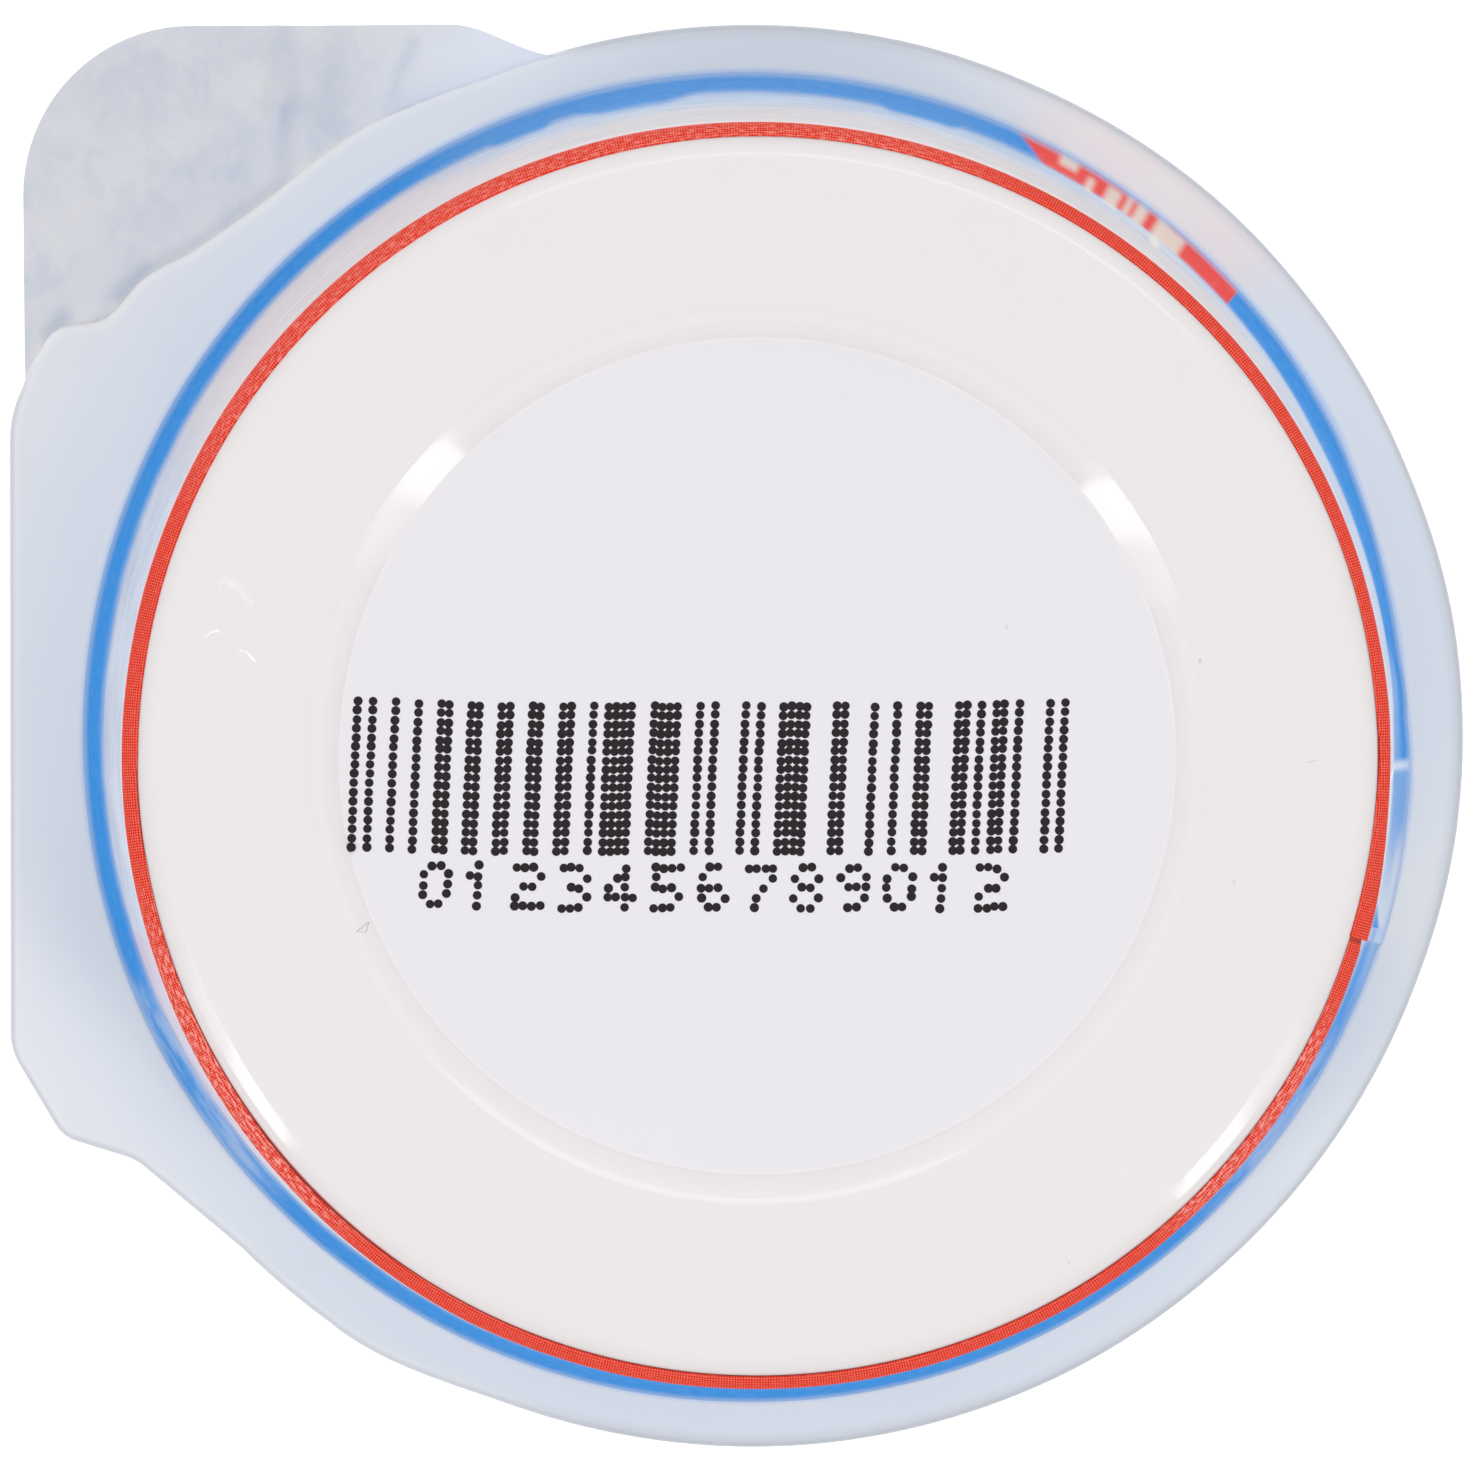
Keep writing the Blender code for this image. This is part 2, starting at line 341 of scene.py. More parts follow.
def settle(item):
    """Puts a piece's place into its mesh, with its origin at the pot's."""
    pick(item)
    bpy.ops.object.transform_apply(location=True, rotation=True, scale=True)


def smoothstep(value):
    """Eases from 0 to 1, flat at both ends."""
    value = min(1.0, max(0.0, value))
    return value * value * (3 - 2 * value)


def arc(centre, radius, start_deg, end_deg, steps):
    """Points along an arc, both ends included."""
    points = []
    for i in range(steps + 1):
        angle = math.radians(start_deg + (end_deg - start_deg) * i / steps)
        points.append((centre[0] + radius * math.cos(angle), centre[1] + radius * math.sin(angle)))
    return points


def line(start, end, steps):
    """Points on a straight run, the first left out."""
    points = []
    for i in range(1, steps + 1):
        share = i / steps
        points.append((start[0] + (end[0] - start[0]) * share, start[1] + (end[1] - start[1]) * share))
    return points


def on_base(x_px, y_px, height):
    """The point at a height that the photograph shows at a pixel."""
    reach = (CAMERA_PLACE.z - height) / FOCAL_PX
    x = CAMERA_PLACE.x + (x_px - PLUMB_PX[0]) * reach
    y = CAMERA_PLACE.y - (y_px - PLUMB_PX[1]) * reach
    return Vector((x, y, height))


# Camera, light and floor


def make_camera():
    """Looks down at the base from the photograph's place."""
    camera_data = bpy.data.cameras.new("camera")
    camera_data.sensor_width = SENSOR_MM
    camera_data.sensor_height = SENSOR_MM
    camera_data.lens = FOCAL_PX / FRAME_PX * SENSOR_MM
    camera_data.clip_start = CLIP_START
    camera_data.clip_end = CLIP_END
    camera = bpy.data.objects.new("camera", camera_data)
    bpy.context.collection.objects.link(camera)
    camera.location = CAMERA_PLACE
    middle = FRAME_PX / 2
    back = -Vector((middle - PLUMB_PX[0], PLUMB_PX[1] - middle, -FOCAL_PX)).normalized()
    right = Vector((0.0, 1.0, 0.0)).cross(back).normalized()
    camera.rotation_euler = Matrix((right, back.cross(right), back)).transposed().to_euler()
    bpy.context.scene.camera = camera


def area_light(name, azimuth_deg, polar_deg, sides, power):
    """A rectangular soft light that faces the pot's base, its second side towards the zenith."""
    light_data = bpy.data.lights.new(name, "AREA")
    light_data.shape = "RECTANGLE"
    light_data.size, light_data.size_y = sides
    light_data.energy = power
    light = bpy.data.objects.new(name, light_data)
    bpy.context.collection.objects.link(light)
    azimuth = math.radians(azimuth_deg)
    polar = math.radians(polar_deg)
    target = Vector((0.0, 0.0, POT_HEIGHT))
    away = Vector(
        (math.sin(polar) * math.cos(azimuth), math.sin(polar) * math.sin(azimuth), math.cos(polar))
    )
    light.location = target + away * SOFTBOX_DISTANCE
    light.rotation_euler = (-away).to_track_quat("-Z", "Y").to_euler()
    return light_data


def softbox(name, azimuth_deg, bright_deg, side):
    """A tall softbox cut like an orange peel, bright up to one sharp edge and dim beyond its middle."""
    light_data = area_light(name, azimuth_deg, SOFTBOX_POLAR, SOFTBOX_SIDES, SOFTBOX_POWER)
    light_data.use_nodes = True
    tree = light_data.node_tree
    width, height = SOFTBOX_SIDES
    polar = math.radians(SOFTBOX_POLAR)

    def step(operation, first, second, third=0.0):
        made = tree.nodes.new("ShaderNodeMath")
        made.operation = operation
        for socket, value in zip(made.inputs, (first, second, third)):
            if isinstance(value, bpy.types.NodeSocket):
                tree.links.new(value, socket)
            else:
                socket.default_value = value
        return made.outputs[0]

    def rise(value, low, high, to_low):
        made = tree.nodes.new("ShaderNodeMapRange")
        made.interpolation_type = "SMOOTHSTEP"
        tree.links.new(value, made.inputs["Value"])
        made.inputs["From Min"].default_value = low
        made.inputs["From Max"].default_value = high
        made.inputs["To Min"].default_value = to_low
        return made.outputs["Result"]

    split = tree.nodes.new("ShaderNodeSeparateXYZ")
    tree.links.new(tree.nodes.new("ShaderNodeNewGeometry").outputs["Parametric"], split.inputs[0])
    across = step("MULTIPLY_ADD", split.outputs["X"], width * side, -0.5 * width * side)
    up = step("MULTIPLY_ADD", split.outputs["Y"], height, -0.5 * height)
    from_axis = step("MULTIPLY_ADD", up, -math.cos(polar), SOFTBOX_DISTANCE * math.sin(polar))
    turn = step("MULTIPLY", step("ARCTAN2", across, from_axis), 360 / WHOLE_TURN)
    dark, lit = -bright_deg - SOFTBOX_EDGE_SOFT, -bright_deg + SOFTBOX_EDGE_SOFT
    sharp = rise(step("MULTIPLY", turn, -1.0), dark, lit, 0.0)
    body = rise(turn, *SOFTBOX_BODY, SOFTBOX_TAIL)
    end = rise(turn, *SOFTBOX_END, 0.0)
    share = step("MULTIPLY", step("MULTIPLY", sharp, body), end)
    tree.links.new(share, tree.nodes["Emission"].inputs["Strength"])


def light_studio():
    """Two tall softboxes near the lower corners of the picture, in a bright even room."""
    softbox("softbox_left", *LEFT_SOFTBOX)
    softbox("softbox_right", *RIGHT_SOFTBOX)
    area_light("ceiling_panel", CEILING_AZIMUTH, CEILING_POLAR, CEILING_SIDES, CEILING_POWER)
    world = bpy.data.worlds.new("studio")
    world.use_nodes = True
    nodes = world.node_tree.nodes
    background = nodes["Background"]
    background.inputs["Color"].default_value = ROOM_COLOUR
    way = nodes.new("ShaderNodeTexCoord")
    upward = nodes.new("ShaderNodeVectorMath")
    upward.operation = "DOT_PRODUCT"
    upward.inputs[1].default_value = BRIGHT_WAY
    ramp = nodes.new("ShaderNodeMapRange")
    ramp.inputs["To Min"].default_value = HORIZON_LIGHT
    ramp.inputs["To Max"].default_value = ZENITH_LIGHT
    world.node_tree.links.new(way.outputs["Generated"], upward.inputs[0])
    world.node_tree.links.new(upward.outputs["Value"], ramp.inputs["Value"])
    world.node_tree.links.new(ramp.outputs["Result"], background.inputs["Strength"])
    bpy.context.scene.world = world
    bpy.context.scene.view_settings.view_transform = "Standard"
    bpy.context.scene.view_settings.look = "None"


# Finishes


class Finish:
    """A material, with short calls for the nodes that the pot's finishes are made of."""

    def __init__(self, name):
        self.material = bpy.data.materials.new(name)
        self.material.use_nodes = True
        self.tree = self.material.node_tree
        self.shader = self.tree.nodes["Principled BSDF"]
        self.place = self.node("ShaderNodeTexCoord").outputs["Object"]

    def node(self, kind, **settings):
        """Adds a node with its settings."""
        made = self.tree.nodes.new(kind)
        for key, value in settings.items():
            setattr(made, key, value)
        return made

    def feed(self, socket, value):
        """Links a socket to another, or gives it a fixed value."""
        if isinstance(value, bpy.types.NodeSocket):
            self.tree.links.new(value, socket)
        else:
            socket.default_value = value

    def maths(self, operation, first, second=0.0, third=0.0):
        """One step of arithmetic."""
        step = self.node("ShaderNodeMath", operation=operation)
        for socket, value in zip(step.inputs, (first, second, third)):
            self.feed(socket, value)
        return step.outputs[0]

    def vectors(self, operation, first, second):
        """One step of arithmetic on vectors, as its node."""
        step = self.node("ShaderNodeVectorMath", operation=operation)
        self.feed(step.inputs[0], first)
        self.feed(step.inputs["Scale" if operation == "SCALE" else 1], second)
        return step

    def times(self, first, second):
        """The product of two shares."""
        return self.maths("MULTIPLY", first, second)

    def larger(self, first, second):
        """The larger of two shares."""
        return self.maths("MAXIMUM", first, second)

    def rest(self, share):
        """What a share leaves of 1."""
        return self.maths("SUBTRACT", 1.0, share)

    def mix(self, share, first, second):
        """Blends two colours."""
        blender = self.node("ShaderNodeMix", data_type="RGBA", blend_type="MIX")
        self.feed(blender.inputs["Factor"], share)
        self.feed(blender.inputs["A"], first)
        self.feed(blender.inputs["B"], second)
        return blender.outputs["Result"]

    def ease(self, value, low, high, to_low=0.0, to_high=1.0):
        """Eases from one value to another while the input goes from low to high."""
        ramp = self.node("ShaderNodeMapRange", interpolation_type="SMOOTHSTEP")
        for name, number in (
            ("Value", value),
            ("From Min", low),
            ("From Max", high),
            ("To Min", to_low),
            ("To Max", to_high),
        ):
            self.feed(ramp.inputs[name], number)
        return ramp.outputs["Result"]

    def between(self, value, low, high, soft):
        """A mask that is 1 between two limits, with soft edges."""
        rise = self.ease(value, low - soft, low + soft)
        fall = self.ease(value, high - soft, high + soft, 1.0, 0.0)
        return self.times(rise, fall)

    def speckle(self, scale, detail=2.0, roughness=0.5, distortion=0.0, place=None):
        """Noise of about 0 to 1, with so many grains to the metre."""
        made = self.node("ShaderNodeTexNoise")
        self.feed(made.inputs["Vector"], place or self.place)
        made.inputs["Scale"].default_value = scale
        made.inputs["Detail"].default_value = detail
        made.inputs["Roughness"].default_value = roughness
        made.inputs["Distortion"].default_value = distortion
        return made.outputs["Fac"]

    def axes(self):
        """The three coordinates of the place on the piece."""
        split = self.node("ShaderNodeSeparateXYZ")
        self.feed(split.inputs[0], self.place)
        return split.outputs

    def radius(self):
        """Distance from the pot's axis."""
        x, y, _ = self.axes()
        squares = self.maths("ADD", self.times(x, x), self.times(y, y))
        return self.maths("SQRT", squares)

    def relief(self, *layers):
        """Bumps of (height, depth in metres), one after the other."""
        normal = None
        for height, depth in layers:
            bump = self.node("ShaderNodeBump")
            bump.inputs["Distance"].default_value = depth
            bump.inputs["Strength"].default_value = 1.0
            self.feed(bump.inputs["Height"], height)
            if normal is not None:
                self.feed(bump.inputs["Normal"], normal)
            normal = bump.outputs["Normal"]
        self.feed(self.shader.inputs["Normal"], normal)


def colour(red, green, blue):
    """A linear colour from the 0 to 255 values that a picture shows."""
    values = []
    for value in (red, green, blue):
        share = value / 255
        values.append(share / 12.92 if share <= 0.04045 else ((share + 0.055) / 1.055) ** 2.4)
    return (*values, 1.0)


# Marks on the base: start, end, half width and strength. The first table is painted highlights on the
# dimple's lips and flank, the second scratches.
# A mark fades between two shares of its half width.
PAINTED_HIGHLIGHTS_PX = (
    ((206, 636.5), (211, 632.4), 0.8, 0.5),
    ((211, 632.4), (218, 630.6), 1.0, 0.7),
    ((218, 630.6), (227, 634), 0.7, 0.2),
    ((240, 650), (247, 652.6), 0.7, 0.6),
    ((247, 652.6), (255, 661), 0.9, 0.75),
    ((227, 580), (238, 588), 3.4, 0.20),
    ((238, 588), (251, 603), 2.6, 0.13),
)
SCRATCHES_PX = (
    ((357, 931), (369, 922), 0.5, 0.45),
    ((369, 922), (366, 932), 0.5, 0.45),
    ((366, 932), (357, 931), 0.5, 0.30),
    ((362, 929), (364, 925), 0.5, 0.25),
    ((1199, 660), (1199, 662), 1.2, 0.28),
    ((1233, 880), (1233, 882), 1.1, 0.22),
    ((1007, 626), (1007, 628), 1.0, 0.22),
    ((1306, 762), (1316, 760), 0.8, 0.14),
    ((1066, 1258), (1070, 1264), 0.7, 0.16),
    ((655, 868), (655, 869), 1.0, 0.25),
)
MARK_CORE = 0.5
MARK_HALO = 1.7


def marks(skin, table_px, height):
    """Share that small marks at a height have in the base's colour."""
    flat = skin.vectors("MULTIPLY", skin.place, (1.0, 1.0, 0.0)).outputs[0]
    total = 0.0
    for start_px, end_px, half_width_px, strength in table_px:
        start = on_base(*start_px, height)
        run = on_base(*end_px, height) - start
        away = skin.vectors("SUBTRACT", flat, (start.x, start.y, 0.0)).outputs[0]
        along = skin.vectors("DOT_PRODUCT", away, run / run.length_squared).outputs["Value"]
        share = skin.larger(skin.maths("MINIMUM", along, 1.0), 0.0)
        nearest = skin.vectors("SCALE", run, share).outputs[0]
        gap = skin.vectors("DISTANCE", away, nearest).outputs["Value"]
        half_width = half_width_px * (CAMERA_PLACE.z - height) / FOCAL_PX
        near = skin.ease(gap, half_width * MARK_CORE, half_width * MARK_HALO, strength, 0.0)
        total = skin.larger(total, near)
    return total


# Tones of the plastic
FOOT_TONE = colour(230, 225, 224)
DISC_SHADE_TONE = colour(228, 225, 229)
PAINTED_STEP_LIGHT = colour(247, 240, 239)
FLANGE_TONE = colour(234, 234, 234)
PAINTED_BAND_BOUNCE = colour(160, 198, 246)
PAINTED_EDGE_SHADE = colour(202, 205, 211)
RIM_SHADE_TONE = colour(172, 176, 184)
PAINTED_LIP_SHADE = colour(204, 62, 54)
CLOUD_TONE = colour(210, 206, 206)
SCRATCH_TONE = colour(120, 112, 110)
PAINTED_HIGHLIGHT_TONE = colour(255, 255, 255)

# Where those tones lie
DISC_FADE = (-1.5 * MM, 2.0 * MM)
STEP_LIGHT_WIDTH = 1.1 * MM
LOW_WALL = (4 * MM, 20 * MM)
BAND_BOUNCE_REACH = (-0.02 * MM, 0.34 * MM)
TUCK_ALONG_Y = (0.0, 14 * MM, 3.5 * MM)
TUCK_ALONG_X = (0.0, 10 * MM)
TUCK_DEPTH = 0.34 * MM
TAB_LEFT = (-12 * MM, -8 * MM)
TAB_ABOVE = (17 * MM, 21 * MM)
EDGE_SHADE_DEPTHS = (0.20 * MM, 0.002 * MM)
RIM_SHADE_WIDTH = 0.95 * MM
ROUND_SIDE = (-16 * MM, -6 * MM)
LIP_SHADE_REACH = (1.00 * MM, 1.05 * MM)
NEAR_BASE = (64 * MM, 66 * MM)


def beside_wrap(skin):
    """Distance from the leaning wall's axis, a little more where the paper's mouth is tucked in."""
    x, y, _ = skin.axes()
    leaned = skin.maths("ADD", x, LEAN)
    squares = skin.maths("ADD", skin.times(leaned, leaned), skin.times(y, y))
    tucked = skin.times(skin.between(y, *TUCK_ALONG_Y), skin.ease(x, *TUCK_ALONG_X))
    return skin.maths("MULTIPLY_ADD", tucked, TUCK_DEPTH, skin.maths("SQRT", squares))


def flange_tones(skin, base, low):
    """The flange: painted blue bounce light beside the wrap, a thin painted shade along its rounded edge,
    a soft shade by its rim.
    """
    x, y, height = skin.axes()
    # Painted blue bounce light from the band, on the flange beside the wrap.
    near, far = (WRAP_MOUTH[0] + reach for reach in BAND_BOUNCE_REACH)
    band_bounce = skin.ease(beside_wrap(skin), near, far, 0.62, 0.0)
    base = skin.mix(skin.times(low, band_bounce), base, PAINTED_BAND_BOUNCE)
    off_tab = skin.rest(skin.times(skin.ease(x, *TAB_LEFT, 1.0, 0.0), skin.ease(y, *TAB_ABOVE)))
    # A thin painted shade along the flange's rounded edge.
    deep, shallow = (FLANGE_TOP - depth for depth in EDGE_SHADE_DEPTHS)
    edge_shade = skin.times(skin.ease(height, deep, shallow, 0.9, 0.0), off_tab)
    shade = skin.times(skin.ease(skin.radius(), RIM_RADIUS - RIM_SHADE_WIDTH, RIM_RADIUS, 0.0, 0.48), low)
    shade = skin.times(skin.times(shade, skin.ease(x, *ROUND_SIDE)), off_tab)
    return skin.mix(shade, skin.mix(edge_shade, base, PAINTED_EDGE_SHADE), RIM_SHADE_TONE)


def cup_plastic():
    """White, softly glossy plastic, matter at the flange, with painted bounce light from the print that
    it lies beside and other painted light and shade.
    """
    skin = Finish("cup_plastic")
    height = skin.axes()[2]
    radius = skin.radius()
    # The disc is painted a little cooler than the foot: painted shade of the recess.
    on_disc = skin.ease(radius, RECESS_RADIUS + DISC_FADE[0], RECESS_RADIUS + DISC_FADE[1], 1.0, 0.0)
    base = skin.mix(on_disc, FOOT_TONE, DISC_SHADE_TONE)
    # Painted light over the recess's step, lifting the shade that its slope gets.
    step_light = skin.between(radius, RECESS_RADIUS, RECESS_RADIUS + STEP_LIGHT_WIDTH, 0.25 * MM)
    base = skin.mix(skin.times(step_light, 0.32), base, PAINTED_STEP_LIGHT)
    low = skin.ease(height, *LOW_WALL, 1.0, 0.0)
    base = flange_tones(skin, skin.mix(low, base, FLANGE_TONE), low)
    # Painted reddish shade on the plastic just under the paper's lip.
    lip_shade = skin.ease(radius, FOOT_RADIUS + LIP_SHADE_REACH[0], FOOT_RADIUS + LIP_SHADE_REACH[1], 0.0, 0.9)
    base = skin.mix(skin.times(lip_shade, skin.ease(height, *NEAR_BASE)), base, PAINTED_LIP_SHADE)
    base = skin.mix(skin.ease(skin.speckle(140, 3.0), 0.3, 0.8, 0.0, 0.06), base, CLOUD_TONE)
    base = skin.mix(marks(skin, SCRATCHES_PX, RECESS_HEIGHT), base, SCRATCH_TONE)
    # Painted highlights on the dimple's lips and flank.
    base = skin.mix(marks(skin, PAINTED_HIGHLIGHTS_PX, POT_HEIGHT), base, PAINTED_HIGHLIGHT_TONE)
    skin.feed(skin.shader.inputs["Base Color"], base)
    sheen = skin.ease(skin.speckle(900, 2.0), 0.2, 0.8, 0.055, 0.085)
    skin.feed(skin.shader.inputs["Roughness"], skin.maths("MULTIPLY_ADD", low, 0.40, sheen))
    skin.shader.inputs["IOR"].default_value = 1.5
    skin.relief((skin.speckle(260, 2.0), 0.02 * MM), (skin.speckle(2600, 2.0), 0.0012 * MM))
    return skin.material


def halftone(finish, across, along, pitch):
    """A fine grid of printed dots, 0 to 1, turned by half a right angle."""
    wave = WHOLE_TURN / (pitch * math.sqrt(2))
    total = finish.maths("ADD", across, along)
    apart = finish.maths("SUBTRACT", across, along)
    first = finish.maths("SINE", finish.times(total, wave))
    second = finish.maths("SINE", finish.times(apart, wave))
    both = finish.times(first, second)
    return finish.ease(both, -0.6, 0.8)


def pot_angle(finish):
    """Degrees round the pot, 0 at the wrap's cut edge and rising anticlockwise to 360."""
    turned = finish.node("ShaderNodeMapping")
    finish.feed(turned.inputs["Vector"], finish.place)
    turned.inputs["Rotation"].default_value = (0.0, 0.0, math.radians(180 - LAP_CUT))
    split = finish.node("ShaderNodeSeparateXYZ")
    finish.feed(split.inputs[0], turned.outputs["Vector"])
    angle = finish.maths("ARCTAN2", split.outputs["Y"], split.outputs["X"])
    return finish.maths("MULTIPLY_ADD", angle, 360 / WHOLE_TURN, 180)


# Fields of the wall: where each lies in degrees from the lap's cut, with its softness, and its tones
DEEP_TURN = (28, 62, 8)
ROSY_TURN = (52, 140, 10)
BEIGE_TURN = (128, 168, 8)
HAZE_TURN = (76, 136, 4)
WARM_TURN = (62, 172, 10)
DRIFT_TURN = (40, 172, 12)
LILAC_START = (213.8, 214.2)
LILAC_END = (234, 242)
ROSY_HEIGHTS = (26 * MM, 50 * MM)
HAZE_HEIGHTS = (24 * MM, 46 * MM)
WARM_HEIGHTS = (60 * MM, 67.5 * MM)
BRIGHT_HEIGHTS = (64 * MM, 67.5 * MM)
WALL_TONES = (colour(170, 181, 203), colour(192, 201, 219))
DEEP_TONES = (colour(160, 180, 210), colour(184, 200, 222))
ROSY_TONES = (colour(182, 183, 188), colour(208, 198, 197))
BEIGE_TONES = (colour(200, 191, 197), colour(216, 205, 206))
LILAC_TONES = (colour(178, 170, 198), colour(205, 190, 206))
HAZE_TONE = colour(142, 178, 214)
WARM_TONE = colour(206, 196, 193)
DRIFT_TONE = colour(224, 222, 226)
BRIGHT_TONE = colour(222, 214, 220)
STREAK_STRETCH = (1.0, 1.0, 0.25)
DRIFT_STRETCH = (0.2 * MM, 1.7)


def fields(paper, angle, height):
    """The soft pale fields of the wall, which differ round the pot."""
    streak_place = paper.node("ShaderNodeMapping")
    paper.feed(streak_place.inputs["Vector"], paper.place)
    streak_place.inputs["Scale"].default_value = STREAK_STRETCH
    streaks = paper.speckle(300, 4.0, 0.6, 0.0, streak_place.outputs["Vector"])
    wall = paper.mix(paper.ease(streaks, 0.3, 0.7), *WALL_TONES)
    deeper = paper.times(paper.between(angle, *DEEP_TURN), 0.55)
    wall = paper.mix(deeper, wall, paper.mix(streaks, *DEEP_TONES))
    rosy = paper.times(paper.between(angle, *ROSY_TURN), paper.ease(height, *ROSY_HEIGHTS))
    wall = paper.mix(rosy, wall, paper.mix(streaks, *ROSY_TONES))
    wall = paper.mix(paper.between(angle, *BEIGE_TURN), wall, paper.mix(streaks, *BEIGE_TONES))
    lilac = paper.times(paper.ease(angle, *LILAC_START), paper.ease(angle, *LILAC_END, 1.0, 0.0))
    wall = paper.mix(lilac, wall, paper.mix(streaks, *LILAC_TONES))
    haze = paper.times(paper.between(angle, *HAZE_TURN), paper.ease(height, *HAZE_HEIGHTS, 0.55, 0.0))
    wall = paper.mix(haze, wall, HAZE_TONE)
    warm = paper.times(paper.between(angle, *WARM_TURN), paper.ease(height, *WARM_HEIGHTS))
    wall = paper.mix(warm, wall, WARM_TONE)
    drift_place = paper.node("ShaderNodeCombineXYZ")
    paper.feed(drift_place.inputs["X"], paper.times(angle, DRIFT_STRETCH[0]))
    paper.feed(drift_place.inputs["Y"], paper.times(height, DRIFT_STRETCH[1]))
    drift = paper.speckle(250, 3.0, 0.5, 0.0, drift_place.outputs[0])
    drift = paper.times(paper.ease(drift, 0.40, 0.70), paper.between(angle, *DRIFT_TURN))
    wall = paper.mix(paper.times(drift, 0.38), wall, DRIFT_TONE)
    return paper.mix(paper.ease(height, *BRIGHT_HEIGHTS, 0.0, 0.45), wall, BRIGHT_TONE)


def band_share(paper, angle, height, ragged):
    """1 inside the blue band, fading up the wall; its top edge steps up and down beyond the banner."""
    rise = paper.maths("SUBTRACT", height, WRAP_KINK[1])
    above = paper.maths("DIVIDE", paper.larger(rise, 0.0), 1.8 * MM)
    below = paper.maths("DIVIDE", paper.maths("MINIMUM", rise, 0.0), 0.5 * MM)
    seen = paper.maths("ADD", above, below)
    lift = paper.maths("MULTIPLY_ADD", ragged, 3.0, -1.5)
    for low, high, soft, step in BAND_STEPS:
        lift = paper.maths("MULTIPLY_ADD", paper.between(angle, low, high, soft), step, lift)
    return paper.ease(paper.maths("SUBTRACT", seen, lift), -5.5, 5.0, 1.0, 0.0)


# The blue band and the lap's edge beside it: turns in degrees from the lap's cut
CLOUDY_TURN = (84, 136, 5)
WEDGE_HEIGHTS = (5 * MM, 14 * MM)
WEDGE_SLANT = -2.8
WEDGE_EDGE = (-0.9, 0.3)
PALE_HEIGHTS = (5 * MM, 11 * MM)
PALE_TURN = (5.0, 12.0)
PALE_FADE = (0.5, 11.0)
CUT_TURN = (358.2, 358.9)
GAP_TURN = (14.1, 14.9, 0.45)
GAP_TO_CUT = (14.1, 358.3, 0.4)
BEYOND_GAP_TURN = (14.0, 24.0, 2.5)
BEYOND_GAP_HEIGHTS = (5 * MM, 12 * MM)
BLUE_SHEEN_TURNS = ((218, 240, 3), (332, 350, 4))
PALE_AND_SHEEN_HEIGHTS = (2.5 * MM, 8.0 * MM)
MOUTH_HEIGHTS = (2.0 * MM, 5.2 * MM)
NARROW_TURN = (347, 359.5)
NARROW_HEIGHTS = (4 * MM, 10 * MM)
CLOUDY_BLUE = colour(94, 150, 210)
PALE_INK_AND_SHEEN_TONE = colour(210, 217, 228)
GAP_TONE = colour(228, 234, 242)
MOUTH_TONE = colour(172, 197, 234)

# The red turned edge
SCUFF_STRETCH = 4.0
RED_HIGHLIGHT_TURNS = ((212, 244, 6), (329, 352, 4))
LIGHTLY_SCUFFED_TURN = (84, 172, 10)
LAP_SHADE_TURN = (359.55, 359.95, 0.1)
RED_TONES = (colour(204, 34, 24), colour(240, 104, 84))
SCUFF_AND_HIGHLIGHT_TONE = colour(248, 172, 162)
LAP_SHADE_TONE = colour(120, 52, 48)
PALE_RED_HEIGHTS = (68.5 * MM, 69.2 * MM)
PALE_RED = colour(250, 168, 156)
DOT_RAGGEDNESS = 0.30 * MM
RED_START = (68.25 * MM, 68.95 * MM)
BARE_TURN = (0.0, 2.6, 0.5)
BARE_HEIGHTS = (67.8 * MM, 68.6 * MM, 0.2 * MM)
BARE_TONE = colour(240, 238, 236)


def pale_ink_and_sheen(paper, angle, height):
    """How far pale shows through the blue: beside the lap's cut, beyond the gap, and in spots of painted
    sheen that face the softboxes.
    """
    wedge = paper.maths("MULTIPLY_ADD", paper.ease(height, *WEDGE_HEIGHTS), WEDGE_SLANT, angle)
    low_down = paper.ease(height, *PALE_HEIGHTS, 0.95, 0.0)
    pale = paper.times(low_down, paper.ease(angle, *PALE_TURN, 1.0, 0.0))
    pale = paper.larger(paper.ease(angle, *PALE_FADE, 0.95, 0.26), pale)
    pale = paper.times(pale, paper.ease(wedge, *WEDGE_EDGE))
    pale = paper.larger(pale, paper.times(low_down, paper.ease(angle, *CUT_TURN)))
    pale = paper.times(pale, paper.rest(paper.between(angle, *GAP_TO_CUT)))
    # Spots of painted sheen on the blue, where it faces the two softboxes.
    first, second = (paper.between(angle, *turn) for turn in BLUE_SHEEN_TURNS)
    sheen_patches = paper.ease(paper.speckle(260, 3.0, 0.6), 0.34, 0.66, 0.0, 0.45)
    thin = paper.larger(pale, paper.times(paper.larger(first, second), sheen_patches))
    beyond_gap = paper.ease(height, *BEYOND_GAP_HEIGHTS, 0.0, 0.32)
    thin = paper.larger(thin, paper.times(paper.between(angle, *BEYOND_GAP_TURN), beyond_gap))
    return paper.times(thin, paper.ease(height, *PALE_AND_SHEEN_HEIGHTS, 0.92, 0.97))


